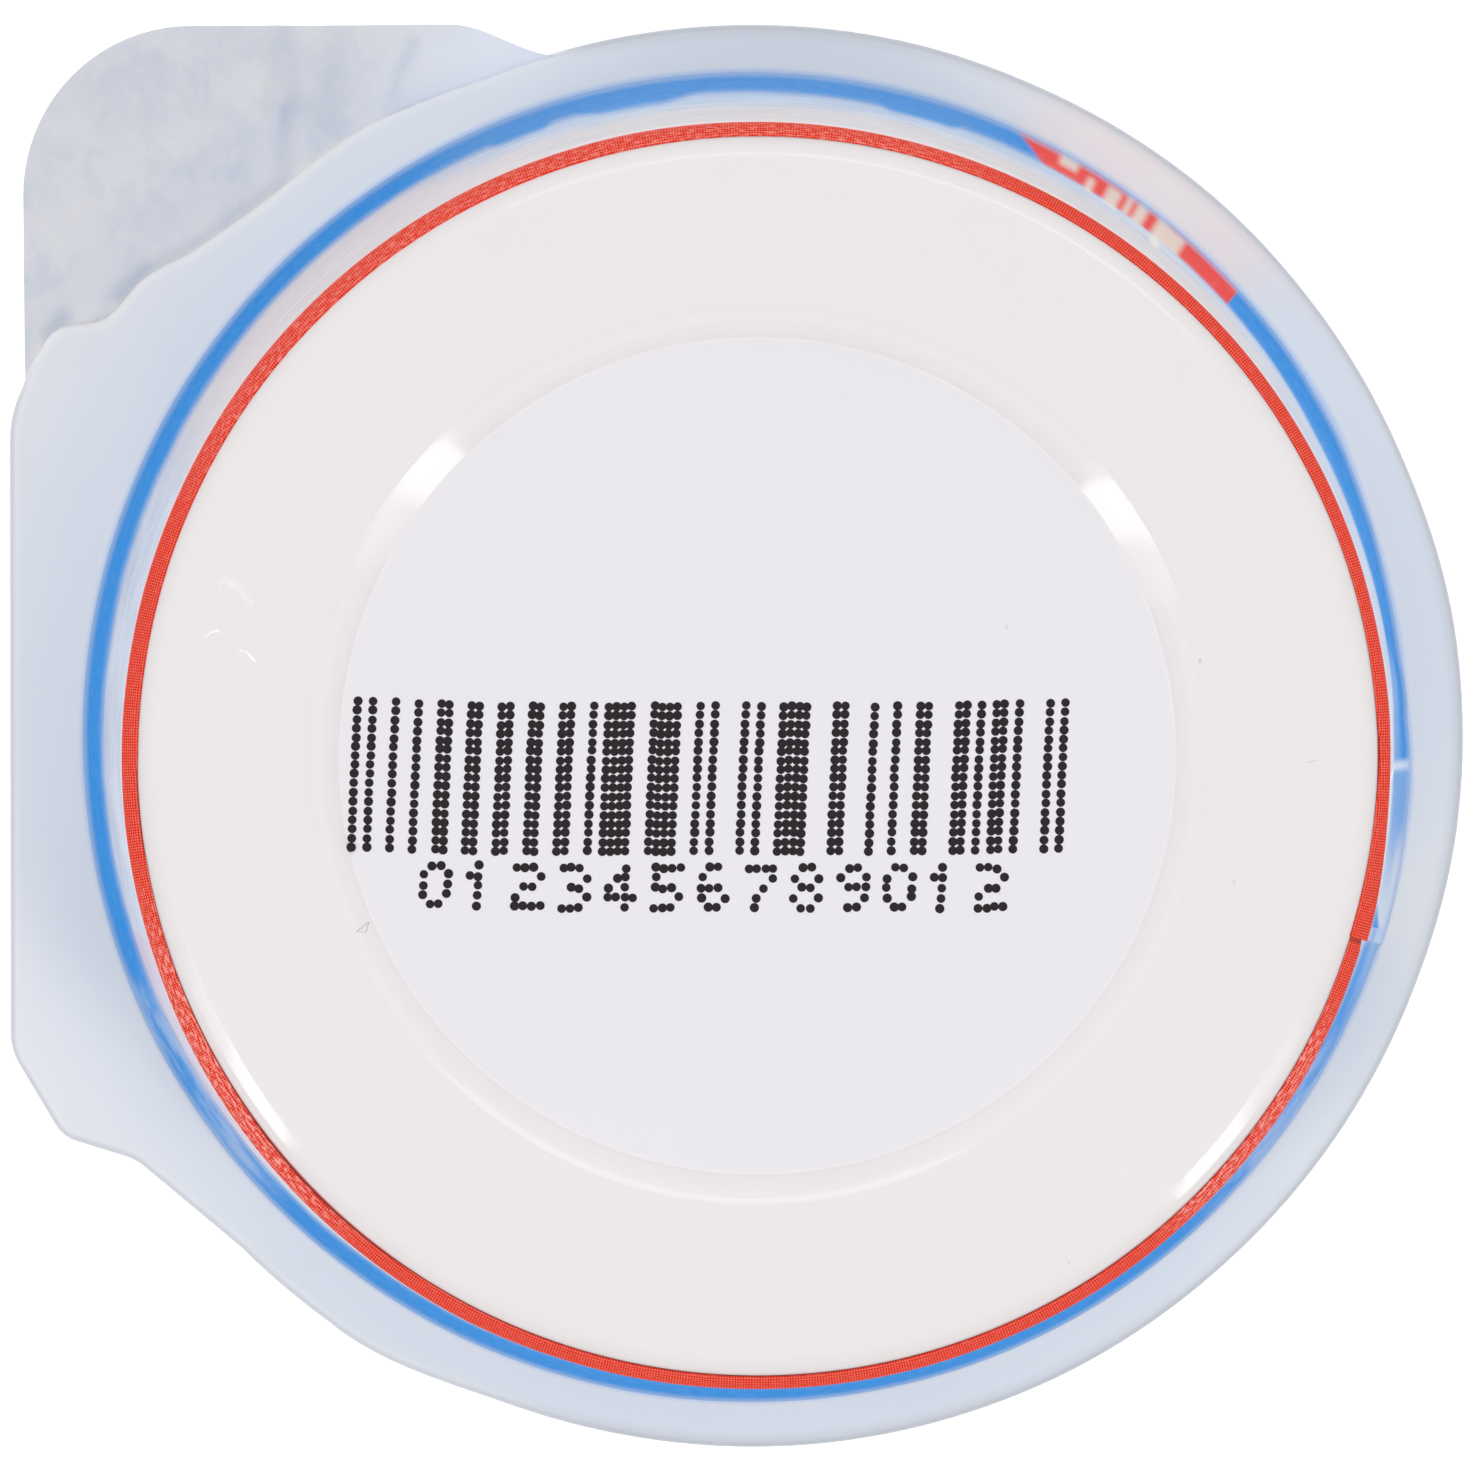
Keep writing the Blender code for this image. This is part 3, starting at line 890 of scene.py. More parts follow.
def scuffs_and_highlights(paper, angle, around, over):
    """White scuff marks drawn out along the red edge, and how strongly they show round the pot: faint all
    round, stronger on one side, strongest where they are painted highlights facing the two softboxes.
    """
    place = paper.node("ShaderNodeCombineXYZ")
    paper.feed(place.inputs["X"], around)
    paper.feed(place.inputs["Y"], paper.times(over, SCUFF_STRETCH))
    crumbs = paper.ease(paper.speckle(2600, 3.0, 0.7, 0.1, place.outputs[0]), 0.47, 0.62)
    first, second = (paper.between(angle, *turn) for turn in RED_HIGHLIGHT_TURNS)
    wear_and_glint = paper.maths("MULTIPLY_ADD", paper.larger(first, second), 0.70, 0.10)
    wear_and_glint = paper.larger(wear_and_glint, paper.times(paper.between(angle, *LIGHTLY_SCUFFED_TURN), 0.42))
    return crumbs, wear_and_glint


def wrap_print():
    """Satin printed paper: red turned edge, pale wall with soft fields, blue band and red banner, with
    painted sheen on the band and painted highlights on the red edge.
    """
    paper = Finish("wrap_print")
    height = paper.axes()[2]
    angle = pot_angle(paper)
    band = band_share(paper, angle, height, paper.speckle(420, 3.0, 0.6))
    blue = paper.mix(paper.times(paper.between(angle, *CLOUDY_TURN), 0.55), BAND_BLUE, CLOUDY_BLUE)
    surface = paper.mix(band, fields(paper, angle, height), blue)
    # Pale print beside the lap and beyond the gap, and painted sheen on the band.
    surface = paper.mix(pale_ink_and_sheen(paper, angle, height), surface, PALE_INK_AND_SHEEN_TONE)
    surface = banner(paper, surface, angle, height)
    surface = paper.mix(paper.times(paper.between(angle, *GAP_TURN), 0.8), surface, GAP_TONE)
    narrowed = paper.times(paper.ease(angle, *NARROW_TURN), paper.ease(height, *NARROW_HEIGHTS, 0.7, 0.0))
    mouth = paper.larger(paper.ease(height, *MOUTH_HEIGHTS, 0.72, 0.0), narrowed)
    surface = paper.mix(mouth, surface, MOUTH_TONE)

    around = paper.times(angle, math.radians(1) * CURL_CENTRE[0])
    over = paper.maths("SUBTRACT", paper.radius(), height)
    dots = halftone(paper, around, over, HALFTONE_PITCH)
    crumbs, wear_and_glint = scuffs_and_highlights(paper, angle, around, over)
    # Pale scuff marks, which stand in for painted highlights where they face the softboxes.
    red = paper.mix(paper.times(crumbs, wear_and_glint), paper.mix(dots, *RED_TONES), SCUFF_AND_HIGHLIGHT_TONE)
    red = paper.mix(paper.times(paper.between(angle, *LAP_SHADE_TURN), 0.6), red, LAP_SHADE_TONE)
    red = paper.mix(paper.ease(height, *PALE_RED_HEIGHTS, 0.30, 0.0), red, PALE_RED)
    ragged_height = paper.maths("ADD", height, paper.times(dots, DOT_RAGGEDNESS))
    on_edge = paper.ease(ragged_height, *RED_START)
    surface = paper.mix(on_edge, surface, red)
    bare = paper.times(paper.between(angle, *BARE_TURN), paper.between(height, *BARE_HEIGHTS))
    surface = paper.mix(bare, surface, BARE_TONE)

    paper.feed(paper.shader.inputs["Base Color"], surface)
    grain = paper.speckle(1500, 3.0, 0.6)
    paper.feed(paper.shader.inputs["Roughness"], paper.ease(grain, 0.25, 0.75, 0.30, 0.42))
    paper.shader.inputs["IOR"].default_value = 1.4
    gloss = paper.ease(paper.larger(band, on_edge), 0.0, 1.0, 0.08, 0.01)
    paper.feed(paper.shader.inputs["Specular IOR Level"], gloss)
    paper.relief((paper.speckle(220, 2.0), 0.03 * MM), (grain, 0.002 * MM), (crumbs, 0.003 * MM))
    return paper.material


# Banner: bars as middle and half width in degrees, and as foot and head in millimetres
BANNER_BARS = (
    (66.9, 1.2, 3.0, 15.0),
    (68.3, 0.5, 1.0, 38.0),
    (70.4, 0.55, 1.0, 16.0),
    (71.7, 0.3, 1.0, 14.0),
    (73.3, 0.7, 4.0, 22.0),
    (75.6, 0.35, 6.0, 18.0),
    (78.0, 0.9, 0.5, 8.0),
)
BAR_SOFT_TURN = 0.45
BAR_SOFT_HEIGHT = 2.2 * MM
BANNER_SLANT = 0.30 / MM
BANNER_LEFT = (83.2, 84.4)
BANNER_RIGHT = (59.3, 59.6)
BANNER_TOP = (10.5 * MM, 15.0 * MM)
BANNER_RED = colour(236, 62, 52)
BAR_TONE = colour(226, 220, 208)


def banner(paper, surface, angle, height):
    """The red banner across the blue band, one end slanted, with a row of plain white bars on it."""
    slanted = paper.maths("MULTIPLY_ADD", height, BANNER_SLANT, angle)
    sides = paper.times(paper.ease(slanted, *BANNER_LEFT, 1.0, 0.0), paper.ease(angle, *BANNER_RIGHT))
    field = paper.times(sides, paper.ease(height, *BANNER_TOP, 1.0, 0.0))
    surface = paper.mix(field, surface, BANNER_RED)
    for middle, half_width, low, high in BANNER_BARS:
        bar = paper.between(angle, middle - half_width, middle + half_width, BAR_SOFT_TURN)
        bar = paper.times(bar, paper.between(height, low * MM, high * MM, BAR_SOFT_HEIGHT))
        surface = paper.mix(paper.times(bar, 0.85), surface, BAR_TONE)
    return surface


def cut_paper():
    """The wrap's bare cut edge: matt white fibre."""
    edge = Finish("cut_paper")
    fibre = edge.speckle(3000, 3.0, 0.7)
    tone = edge.mix(fibre, colour(226, 222, 216), colour(245, 243, 240))
    edge.feed(edge.shader.inputs["Base Color"], tone)
    edge.feed(edge.shader.inputs["Roughness"], edge.ease(fibre, 0.2, 0.8, 0.75, 0.9))
    edge.relief((fibre, 0.02 * MM))
    return edge.material


# Where the foil is paler beside the rim
LIT_FOIL_SIDE = (-23 * MM, -13 * MM)
LIT_FOIL_RADII = (39 * MM, 44 * MM)


def lid_foil():
    """Pale lacquered foil, marbled where the lacquer runs thick and thin."""
    foil = Finish("lid_foil")
    stretched = foil.node("ShaderNodeMapping")
    foil.feed(stretched.inputs["Vector"], foil.place)
    stretched.inputs["Rotation"].default_value = (0.0, 0.0, math.radians(12))
    stretched.inputs["Scale"].default_value = (1.0, 0.6, 1.0)
    veins = foil.speckle(900, 5.0, 0.6, 0.6, stretched.outputs["Vector"])
    broad = foil.speckle(240, 3.0, 0.55, 0.8)
    marble = foil.maths("MULTIPLY_ADD", veins, 0.5, foil.times(broad, 0.5))
    tone = foil.mix(foil.ease(marble, 0.34, 0.62), colour(208, 211, 217), colour(222, 221, 222))
    fold_shade = foil.node("ShaderNodeAttribute", attribute_name=FOLD_SHADE_ATTRIBUTE).outputs["Fac"]
    # Painted shade in the tab's folds, and the flange's painted shadow along its flank.
    tone = foil.mix(foil.times(fold_shade, 0.8), tone, colour(176, 183, 198))
    x = foil.axes()[0]
    by_rim = foil.ease(foil.radius(), *LIT_FOIL_RADII, 1.0, 0.0)
    tone = foil.mix(foil.times(foil.ease(x, *LIT_FOIL_SIDE), by_rim), tone, colour(234, 235, 237))
    foil.feed(foil.shader.inputs["Base Color"], tone)
    foil.feed(foil.shader.inputs["Roughness"], foil.ease(veins, 0.3, 0.7, 0.42, 0.52))
    foil.shader.inputs["Metallic"].default_value = 0.10
    foil.relief((broad, 0.03 * MM), (veins, 0.018 * MM), (foil.speckle(2600, 3.0, 0.6), 0.005 * MM))
    return foil.material


def ink():
    """Black ink, faintly brown and satin where it dried thick."""
    black = Finish("print_ink")
    dried = black.speckle(6000, 2.0)
    tone = black.mix(dried, colour(26, 21, 25), colour(50, 42, 46))
    black.feed(black.shader.inputs["Base Color"], tone)
    black.feed(black.shader.inputs["Roughness"], black.ease(dried, 0.3, 0.7, 0.45, 0.65))
    black.shader.inputs["Specular IOR Level"].default_value = 0.12
    black.relief((dried, 0.004 * MM))
    return black.material


def floor_board():
    """Pale, matt studio board."""
    board = Finish("floor_board")
    grain = board.speckle(60, 4.0)
    tone = board.mix(grain, colour(222, 222, 223), colour(226, 226, 226))
    board.feed(board.shader.inputs["Base Color"], tone)
    board.feed(board.shader.inputs["Roughness"], board.ease(grain, 0.2, 0.8, 0.85, 0.95))
    board.shader.inputs["Emission Color"].default_value = (1.0, 1.0, 1.0, 1.0)
    board.shader.inputs["Emission Strength"].default_value = FLOOR_GLOW
    board.relief((board.speckle(900, 2.0), 0.02 * MM))
    return board.material


# Making pieces


def name_piece(name):
    """Gives the piece that was just added its name."""
    item = bpy.context.object
    item.name = name
    item.data.name = name
    return item


def face_outwards():
    """Turns every face of the piece in edit mode outwards, then leaves edit mode."""
    bpy.ops.mesh.select_all(action="SELECT")
    bpy.ops.mesh.normals_make_consistent(inside=False)
    bpy.ops.object.mode_set(mode="OBJECT")


def start_point(name, point):
    """A single vertex to draw a profile from, left in edit mode."""
    deselect()
    bpy.ops.mesh.primitive_plane_add(size=MM, location=(0.0, 0.0, 0.0))
    item = name_piece(name)
    bpy.context.tool_settings.mesh_select_mode = (True, False, False)
    bpy.ops.object.mode_set(mode="EDIT")
    bpy.ops.mesh.select_all(action="SELECT")
    bpy.ops.mesh.merge(type="CENTER")
    bpy.ops.transform.translate(value=point)
    return item


def turn_piece(name, profile, steps, closed=False, start_deg=0.0, sweep_deg=360.0):
    """Draws a profile of (radius, height) edge by edge, then spins it round the pot's axis."""
    start = math.radians(start_deg)
    points = [Vector((r * math.cos(start), r * math.sin(start), z)) for r, z in profile]
    if closed:
        points.append(points[0])
    item = start_point(name, points[0])
    for before, after in zip(points, points[1:]):
        bpy.ops.mesh.extrude_region_move(TRANSFORM_OT_translate={"value": after - before})
    bpy.ops.mesh.select_all(action="SELECT")
    bpy.ops.mesh.remove_doubles(threshold=WELD)
    bpy.ops.mesh.spin(steps=steps, angle=math.radians(-sweep_deg), center=(0, 0, 0), axis=(0, 0, 1))
    bpy.ops.mesh.select_all(action="SELECT")
    bpy.ops.mesh.remove_doubles(threshold=WELD)
    if sweep_deg < 360:
        bpy.ops.mesh.select_all(action="DESELECT")
        bpy.ops.mesh.select_non_manifold(extend=False)
        bpy.ops.mesh.edge_face_add()
    face_outwards()
    return item


def outline_plate(name, outline, bottom, top):
    """A flat plate: a disc pulled into an outline, then extruded."""
    deselect()
    bpy.ops.mesh.primitive_circle_add(vertices=len(outline), radius=RIM_RADIUS, fill_type="NGON")
    item = name_piece(name)
    for vertex, (x, y) in zip(item.data.vertices, outline):
        vertex.co = (x, y, bottom)
    bpy.ops.object.mode_set(mode="EDIT")
    bpy.ops.mesh.select_all(action="SELECT")
    bpy.ops.mesh.extrude_region_move(TRANSFORM_OT_translate={"value": (0, 0, top - bottom)})
    face_outwards()
    return item


def select_by(item, kind, wanted):
    """Selects the faces or edges of a piece that a test picks out."""
    pick(item)
    mesh = item.data
    mesh.polygons.foreach_set("select", [False] * len(mesh.polygons))
    mesh.edges.foreach_set("select", [False] * len(mesh.edges))
    mesh.vertices.foreach_set("select", [False] * len(mesh.vertices))
    bpy.context.tool_settings.mesh_select_mode = (False, kind == "edges", kind == "faces")
    for part in getattr(mesh, "polygons" if kind == "faces" else "edges"):
        part.select = wanted(part)
    bpy.ops.object.mode_set(mode="EDIT")


def boolean(item, other, operation):
    """Joins or cuts a piece with another, which is used up."""
    pick(item)
    joint = item.modifiers.new("joint", "BOOLEAN")
    joint.operation = operation
    joint.solver = "EXACT"
    joint.object = other
    bpy.ops.object.modifier_apply(modifier=joint.name)
    bpy.data.objects.remove(other, do_unlink=True)


def smooth(item, angle_deg=CORNER_ANGLE):
    """Shades a piece smooth, with its real corners kept."""
    pick(item)
    bpy.ops.object.shade_smooth_by_angle(angle=math.radians(angle_deg))


def hand_over(item, node, slot, *materials):
    """Gives a piece its finish and its body, and hides the CAD node that it stands for. Its slot is not
    used.
    """
    item.data.materials.clear()
    for finish in materials:
        item.data.materials.append(finish)
    settle(item)
    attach(item, "root")
    if node:
        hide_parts(node)


def lean(item):
    """Leans the cup's wall by a hair towards the ear, as the real one does."""
    for vertex in item.data.vertices:
        share = (LEAN_TOP - vertex.co.z) / LEAN_TOP
        vertex.co.x -= LEAN * min(1.0, max(0.0, share))


# Flange and lid outlines


def on_circle(radius, angle_deg):
    """The point of a circle round the pot's axis at an angle from +X."""
    angle = math.radians(angle_deg)
    return radius * math.cos(angle), radius * math.sin(angle)


def angle_of(point):
    """The angle in degrees from +X, between -180 and 180, at which a point lies."""
    return math.degrees(math.atan2(point[1], point[0]))


def rounded(corner, before, after, steps):
    """Points round one corner of x, y and radius, on the way from one point to another."""
    tip = Vector(corner[:2])
    way_in = (Vector(before[:2]) - tip).normalized()
    way_out = (Vector(after[:2]) - tip).normalized()
    half = way_in.angle(way_out) / 2
    centre = tip + (way_in + way_out).normalized() * corner[2] / math.sin(half)
    reach = corner[2] / math.tan(half)
    start = angle_of(tip + way_in * reach - centre)
    end = angle_of(tip + way_out * reach - centre)
    turn = (end - start + 180) % 360 - 180
    return arc(centre, corner[2], start, start + turn, steps)


def rounded_path(start, corners, end, steps):
    """Points of a path with rounded corners, its two ends included."""
    stations = [start, *corners, end]
    points = [tuple(start)]
    for before, corner, after in zip(stations, stations[1:], stations[2:]):
        points += rounded(corner, before, after, steps)
    return points + [tuple(end)]


def wave(table_mm, place):
    """Value in metres of a smooth wave that a table of places and millimetres sets out."""
    for (low, before), (high, after) in zip(table_mm, table_mm[1:]):
        if low <= place <= high:
            return (before + (after - before) * smoothstep((place - low) / (high - low))) * MM
    return 0.0


def rim_radius(angle_deg):
    """Radius of the rim, which swells a little on its way to the ear."""
    start, full = SHOULDER_ANGLES
    share = smoothstep((abs(angle_deg) - start) / (full - start))
    return RIM_RADIUS + (SHOULDER_RADIUS - RIM_RADIUS) * share + wave(RIM_WAVES_MM, angle_deg)


def rim_run(start_deg, end_deg):
    """Points along the rim between two angles, both left out."""
    steps = round(abs(end_deg - start_deg) / RIM_STEP_ANGLE)
    angles = [start_deg + (end_deg - start_deg) * i / steps for i in range(1, steps)]
    return [on_circle(rim_radius(angle), angle) for angle in angles]


def chord_angle():
    """Angle, in degrees, of the line that is square to the flange's straight flank beside the tab."""
    gap = math.acos((SHOULDER_RADIUS - EAR_CORNER_RADIUS) / EAR_CORNER.length)
    return math.degrees(math.atan2(EAR_CORNER.y, EAR_CORNER.x) - gap)


def flank_ways():
    """The way out of the flange's straight flank beside the tab, and the way along it."""
    outward = Vector(on_circle(1.0, chord_angle()))
    return outward, Vector((outward.y, -outward.x))


def tab_side():
    """The ear's front and its trimmed flank under the tab, up to where the round rim starts."""
    outward, onward = flank_ways()
    points = [(EAR_FRONT, 0.0)] + arc(EAR_CORNER, EAR_CORNER_RADIUS, 180, chord_angle(), EAR_CORNER_STEPS)
    start = Vector(points[-1])
    points += line(start, outward * SHOULDER_RADIUS, CHORD_STEPS)
    waved = []
    for point in points:
        along = (Vector(point) - start).dot(onward)
        waved.append(tuple(Vector(point) + outward * wave(CHORD_WAVES_MM, along / MM)))
    return waved


def plain_side():
    """The flank away from the tab, from the end of the round rim to the ear's front."""
    join = on_circle(rim_radius(PLAIN_JOIN_ANGLE), PLAIN_JOIN_ANGLE)
    corners = [tuple(value * MM for value in corner) for corner in PLAIN_CORNERS_MM]
    return rounded_path(join, corners, (EAR_FRONT, 0.0), EAR_CORNER_STEPS)[:-1]


def flange_outline():
    """The flange's outline, clockwise from the ear's front."""
    return tab_side() + rim_run(chord_angle(), PLAIN_JOIN_ANGLE) + plain_side()


def drawn_in(outline, distance):
    """An outline that runs clockwise, with every point moved inwards."""
    points = []
    for i, (x, y) in enumerate(outline):
        before = Vector(outline[i - 1])
        after = Vector(outline[(i + 1) % len(outline)])
        along = (after - before).normalized()
        points.append((x + along.y * distance, y - along.x * distance))
    return points


def beyond_flange(x, y):
    """Distance of a place on the tab beyond the flange's outline."""
    outward, onward = flank_ways()
    place = Vector((x, y))
    if place.dot(onward) > 0:
        return place.length - rim_radius(angle_of(place))
    if place.dot(onward) < EAR_CORNER.dot(onward):
        return (place - EAR_CORNER).length - EAR_CORNER_RADIUS
    return place.dot(outward) - SHOULDER_RADIUS


def tab_outline():
    """The peel tab's outline from its notch beside the ear to where it meets the round edge."""
    points = rounded_path(TAB_NOTCH, (TAB_CORNER,), TAB_DIP_START, TAB_CORNER_STEPS)
    end = on_circle(RIM_RADIUS - LID_INSET, TAB_DIP_ANGLE)
    for i in range(1, TAB_DIP_STEPS + 1):
        share = i / TAB_DIP_STEPS
        x = TAB_DIP_START[0] + (end[0] - TAB_DIP_START[0]) * share
        y = TAB_DIP_START[1] + (end[1] - TAB_DIP_START[1]) * smoothstep(share)
        points.append((x, y))
    return points


def lid_outline():
    """The flange's outline drawn in a little, with the peel tab in place of its trimmed flank."""
    edge = drawn_in(flange_outline(), LID_INSET)
    front = [point for point in edge if angle_of(point) > angle_of(TAB_NOTCH)]
    rest = [point for point in edge if angle_of(point) < TAB_DIP_ANGLE]
    return front + tab_outline() + rest


# Cup


def recess_surface(radius):
    """Height of the base at a radius: flat, a sharp crease, then a step that rounds over to the foot."""
    share = min(1.0, max(0.0, (radius - RECESS_RADIUS) / RECESS_STEP))
    return RECESS_HEIGHT + RECESS_DEPTH * (1 - (1 - share) ** RECESS_ROUNDING)


def cup_profile():
    """Outline of the cup from the middle of its base, down the wall and into the flange."""
    middle = (0.0, RECESS_HEIGHT)
    points = [middle] + line(middle, (RECESS_RADIUS, RECESS_HEIGHT), DISC_RINGS)
    for i in range(1, STEP_RINGS + 1):
        radius = RECESS_RADIUS + RECESS_STEP * i / STEP_RINGS
        points.append((radius, recess_surface(radius)))
    points += line(points[-1], (FOOT_RADIUS, POT_HEIGHT), FOOT_RINGS)
    corner = (FOOT_RADIUS, POT_HEIGHT - FOOT_FILLET)
    points += arc(corner, FOOT_FILLET, 90, WALL_ANGLE, FILLET_RINGS)[1:]
    points += line(points[-1], WALL_KINK, WALL_RINGS)
    points += line(WALL_KINK, WALL_MOUTH, SKIRT_RINGS)
    sunk = FLANGE_TOP - WALL_SINK
    return points + [(WALL_MOUTH[0], sunk), (0.0, sunk)]


def dimple_depth(point):
    """Depth of the small moulded dimple on the foot: a shallow oval that ends at a sharp arched lip."""
    reach = (CAMERA_PLACE.z - POT_HEIGHT) / FOCAL_PX
    x = (point.x - CAMERA_PLACE.x) / reach + PLUMB_PX[0]
    y = (CAMERA_PLACE.y - point.y) / reach + PLUMB_PX[1]
    across = (x - DIMPLE_MIDDLE_PX[0]) / DIMPLE_HALF_PX[0]
    along = (y - DIMPLE_MIDDLE_PX[1]) / DIMPLE_HALF_PX[1]
    inside = smoothstep((1 - math.hypot(across, along)) / DIMPLE_RIM_SHARE)
    inside *= smoothstep((x - DIMPLE_START_PX) / DIMPLE_RUN_PX)
    lip = DIMPLE_LIP_PX[0][1]
    for (x0, y0), (x1, y1) in zip(DIMPLE_LIP_PX, DIMPLE_LIP_PX[1:]):
        if x > x0:
            lip = y0 + (y1 - y0) * min(1.0, (x - x0) / (x1 - x0))
    fading = smoothstep((x - FAINT_START_PX) / FAINT_SOFT_PX)
    faint = 1 - FAINT_SHARE * fading * smoothstep((FAINT_END_PX - x) / FAINT_SOFT_PX)
    return DIMPLE_DEPTH * faint * inside * (1 - smoothstep((y - lip) / DIMPLE_LIP_WIDTH_PX))


def press_dimple(item):
    """Presses the dimple into the foot, whose faces are cut finer there first."""
    middle = on_base(*DIMPLE_MIDDLE_PX, POT_HEIGHT)

    def on_foot(point, reach):
        away = point - middle
        return abs(away.z) < FLAT_WITHIN and away.length < reach

    select_by(item, "faces", lambda face: on_foot(face.center, DIMPLE_REACH))
    bpy.ops.mesh.subdivide(number_cuts=DIMPLE_CUTS)
    bpy.ops.object.mode_set(mode="OBJECT")
    for vertex in item.data.vertices:
        if on_foot(vertex.co, DIMPLE_PRESSED):
            vertex.co.z -= dimple_depth(vertex.co)


def make_cup(finish):
    """The moulded cup with its flange, one piece."""
    cup = turn_piece("cup_moulding", cup_profile(), CUP_STEPS)
    lean(cup)
    flange = outline_plate("flange", flange_outline(), FLANGE_BOTTOM, FLANGE_TOP)
    select_by(flange, "edges", lambda edge: rim_edge(flange, edge))
    bpy.ops.mesh.bevel(offset=FLANGE_ROUNDING, segments=ROUNDING_CUTS, affect="EDGES")
    bpy.ops.object.mode_set(mode="OBJECT")
    press_dimple(cup)
    boolean(cup, flange, "UNION")
    smooth(cup, CUP_CORNER_ANGLE)
    hand_over(cup, "cup", "cup_plastic", finish)


def rim_edge(item, edge):
    """True for the edges round the top of a plate."""
    middle = (FLANGE_BOTTOM + FLANGE_TOP) / 2
    return all(item.data.vertices[i].co.z > middle for i in edge.vertices)


# Wrap


def wrap_profile(lift, thickness):
    """Section of the paper: over the curl, down the outside and back up the inside."""
    points = arc(CURL_CENTRE, CURL_RADIUS + lift, CURL_LIP_ANGLE, WALL_ANGLE, CURL_STEPS)
    kink = (WRAP_KINK[0] + lift, WRAP_KINK[1])
    mouth = (WRAP_MOUTH[0] + lift, WRAP_MOUTH[1])
    points += line(points[-1], kink, TALL_STEPS)
    points += line(kink, mouth, SKIRT_STEPS)
    points += [(mouth[0] - thickness, mouth[1]), (kink[0] - thickness, kink[1])]
    inner = CURL_RADIUS + lift - thickness
    return points + arc(CURL_CENTRE, inner, WALL_ANGLE, CURL_LIP_ANGLE, INNER_CURL_STEPS)


def lap_turn(vertex):
    """Angle of a place on the paper, counted on from the lap's cut."""
    return (angle_of(vertex.co) - LAP_CUT) % 360 + LAP_CUT


def across_curl(vertex):
    """0 at the paper's inner lip, rising to 1 where the curl turns down."""
    return smoothstep((math.hypot(vertex.co.x, vertex.co.y) - CURL_CENTRE[0]) / CURL_RADIUS)


def lip_drop(vertex):
    """How far the lip sinks where it draws back, so that it keeps to the cup's rounded edge."""
    if vertex.co.z <= CURL_CENTRE[1]:
        return 0.0
    return LIP_DROP * max(0.0, wave(LIP_WAVES_MM, lap_turn(vertex))) * (1 - across_curl(vertex))


def paper_stray(vertex):
    """How far out the paper strays from round at a place on it."""
    turn = lap_turn(vertex)
    across = across_curl(vertex)
    lip, edge = wave(LIP_WAVES_MM, turn), wave(EDGE_WAVES_MM, turn)
    stray = (lip + (edge - lip) * across) * smoothstep((vertex.co.z - STRAY_START) / STRAY_RUN)
    return stray + wave(MOUTH_WAVES_MM, turn) * smoothstep((WRAP_KINK[1] - vertex.co.z) / MOUTH_RUN)


def edge_is_bare(face):
    """True for the wrap's cut faces: its mouth, its inner lip and the lap's end."""
    flat = Vector((face.center.x, face.center.y, 0.0))
    outward = flat.normalized().dot(face.normal)
    across = abs(Vector((-flat.y, flat.x, 0.0)).normalized().dot(face.normal))
    return across > 0.7 or outward < -0.5 or face.normal.z < -0.7


def mark_bare_edges(item):
    """Gives the cut faces their own bare paper finish."""
    for face in item.data.polygons:
        face.material_index = 1 if edge_is_bare(face) else 0


def make_wrap(printed, bare):
    """The paper wrap, and the end of it that laps over its start."""
    wrap = turn_piece("paper_wrap", wrap_profile(0.0, PAPER), WRAP_STEPS, closed=True)
    for vertex in wrap.data.vertices:
        angle = angle_of(vertex.co)
        waver = noise.noise(Vector((vertex.co.x, vertex.co.y, 0.0)) * WAVER_GRAIN)
        push = paper_stray(vertex) + WAVER_REACH * waver
        under = smoothstep((angle - LAP_CUT + UNDER_LAP_MARGIN) / UNDER_LAP_RUN)
        under *= smoothstep((LAP_END - UNDER_LAP_MARGIN - angle) / UNDER_LAP_RUN)
        push -= UNDER_LAP_PUSH * under * across_curl(vertex)
        vertex.co.z -= lip_drop(vertex) + UNDER_LAP_DROP * under
        shift_outward(vertex, push)
    lean(wrap)
    smooth(wrap)
    hand_over(wrap, "sleeve", "wrap_paper", printed, bare)
    mark_bare_edges(wrap)

    sweep = LAP_END - LAP_CUT
    lap = turn_piece("wrap_lap", wrap_profile(0.0, PAPER), LAP_STEPS, True, LAP_CUT, sweep)
    for vertex in lap.data.vertices:
        share = smoothstep((angle_of(vertex.co) - LAP_CUT) / sweep * LAP_RAMP)
        lift = LAP_START_LIFT + (LAP_LIFT - LAP_START_LIFT) * (1 - share)
        inner = smoothstep((vertex.co.z - TOP_FACE_START) / TOP_FACE_RUN)
        stray = paper_stray(vertex)
        slant = math.radians(LAP_SLANT) * (1 - vertex.co.z / POT_HEIGHT) * (1 - share)
        vertex.co.xy = vertex.co.xy + slant * Vector((vertex.co.y, -vertex.co.x))
        vertex.co.z -= lip_drop(vertex)
        shift_outward(vertex, stray + lift * (1 - inner) - LAP_TUCK * inner * (1 - share))
    lean(lap)
    smooth(lap)
    hand_over(lap, None, "wrap_paper", printed, bare)
    mark_bare_edges(lap)


def shift_outward(vertex, distance):
    """Moves a vertex away from the pot's axis."""
    radius = math.hypot(vertex.co.x, vertex.co.y)
    vertex.co.x *= 1 + distance / radius
    vertex.co.y *= 1 + distance / radius


# Lid


def tab_share(x, y):
    """0 where the foil is sealed to the flange, rising to 1 out on the peel tab."""
    if not TAB_START < angle_of((x, y)) < TAB_END:
        return 0.0
    return smoothstep((beyond_flange(x, y) - TAB_SEAL) / TAB_RISE_RUN)


